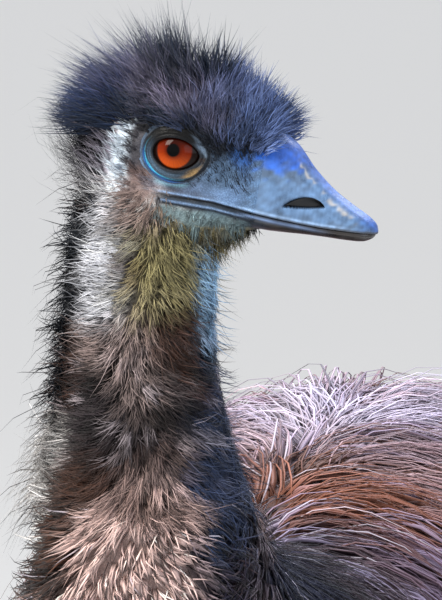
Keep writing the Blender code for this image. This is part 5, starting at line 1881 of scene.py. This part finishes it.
@dataclass
class Studio:
    """A pale plain floor, soft light and the photo's camera."""

    azimuth: float = 14.0
    pitch: float = 9.0
    distance: float = 2.6
    focal: float = 4906.0
    photo: tuple[int, int] = (442, 600)
    eye_at: tuple[float, float] = (173.0, 153.0)

    def floor(self, finish: bpy.types.Material) -> bpy.types.Object:
        """The floor, which fills the picture behind the bird."""
        mesh = bmesh.new()
        bmesh.ops.create_grid(mesh, x_segments=1, y_segments=1, size=40.0)
        data = bpy.data.meshes.new("floor")
        mesh.to_mesh(data)
        mesh.free()
        return shown("floor", data, finish)

    def lamp(self, name: str, place: tuple[float, float, float], size: float, power: float,
             colour: str = "#FFFFFF") -> bpy.types.Object:
        """A square soft light that faces the head.

        Args:
            name: its name.
            place: where it hangs.
            size: the length of its side.
            power: its power in watts.
            colour: its colour.

        Returns:
            The light.
        """
        data = bpy.data.lights.new(name, "AREA")
        data.size, data.energy = size, power
        data.color = linear(colour)
        made = bpy.data.objects.new(name, data)
        made.location = place
        aim = Vector((0.0, -0.3, 1.15)) - Vector(place)
        made.rotation_euler = aim.to_track_quat("-Z", "Y").to_euler()
        bpy.context.scene.collection.objects.link(made)
        return made

    def sky(self) -> None:
        """The pale surroundings."""
        world = bpy.data.worlds.new("pale surroundings")
        world.use_nodes = True
        back = world.node_tree.nodes["Background"]
        back.inputs["Color"].default_value = (*linear("#EEF1F6"), 1.0)
        back.inputs["Strength"].default_value = 0.95
        bpy.context.scene.world = world

    def camera(self) -> None:
        """The photo's camera: the right iris stands where the photo has it."""
        turn, tilt = math.radians(self.azimuth), math.radians(self.pitch)
        back = Vector((math.sin(turn) * math.cos(tilt), -math.cos(turn) * math.cos(tilt), math.sin(tilt)))
        right = Vector((math.cos(turn), math.sin(turn), 0.0))
        up = back.cross(right)
        eye = Vector(head_to_world((0.0, -EYE_OFFSET - EYE_RADIUS, 0.0)) + SHIFT)
        across = (self.eye_at[0] - self.photo[0] / 2) / self.focal * self.distance
        above = -(self.eye_at[1] - self.photo[1] / 2) / self.focal * self.distance
        data = bpy.data.cameras.new("camera")
        data.lens = self.focal * 36.0 / max(self.photo)
        data.clip_end = 200.0
        made = bpy.data.objects.new("camera", data)
        made.location = eye + back * self.distance - right * across - up * above
        made.rotation_euler = (-back).to_track_quat("-Z", "Y").to_euler()
        bpy.context.scene.collection.objects.link(made)
        bpy.context.scene.camera = made

    def build(self, finish: bpy.types.Material) -> None:
        """Sets up the studio.

        Args:
            finish: the floor's material.
        """
        self.floor(finish)
        self.lamp("key light", (-1.5, -1.9, 2.9), 1.5, 130.0, "#FFFAF2")
        self.lamp("sky light", (0.3, 1.0, 3.1), 1.8, 85.0, "#E6EEFF")
        self.lamp("fill light", (2.6, -1.6, 1.7), 1.8, 20.0, "#EAF0FF")
        self.sky()
        self.camera()
        # The picture is developed without a film curve, so that the markings keep their depth.
        bpy.context.scene.view_settings.view_transform = "Standard"


def report(pieces: list[bpy.types.Object], slot: Slot) -> None:
    """Joins each piece to the body and logs it.

    Args:
        pieces: the pieces.
        slot: their slot, which is not used.
    """
    for piece in pieces:
        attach(piece, "root")
        triangles = sum(len(face.vertices) - 2 for face in piece.data.polygons)
        logging.info("%s: %d triangles", piece.name, triangles)


def main() -> None:
    """Builds the pieces in order."""
    logging.basicConfig(level=logging.INFO, format="%(message)s")
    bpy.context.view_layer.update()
    skin = Skin().build(BareSkin().make())
    report([skin], Slot.HACKLE)
    report(Bill().build(BillHorn().make()), Slot.BILL)
    report(Eyes().build(WetEye().make()), Slot.EYE)
    legs = Legs().build(LegScales().make(), ClawHorn().make())
    report(legs[0::2], Slot.SCALES)
    report(legs[1::2], Slot.CLAW)
    report(Plumes().build(FeatherBarbs().make()), Slot.COAT)
    Studio().build(FloorPaper().make())


if __name__ == "__main__":
    main()
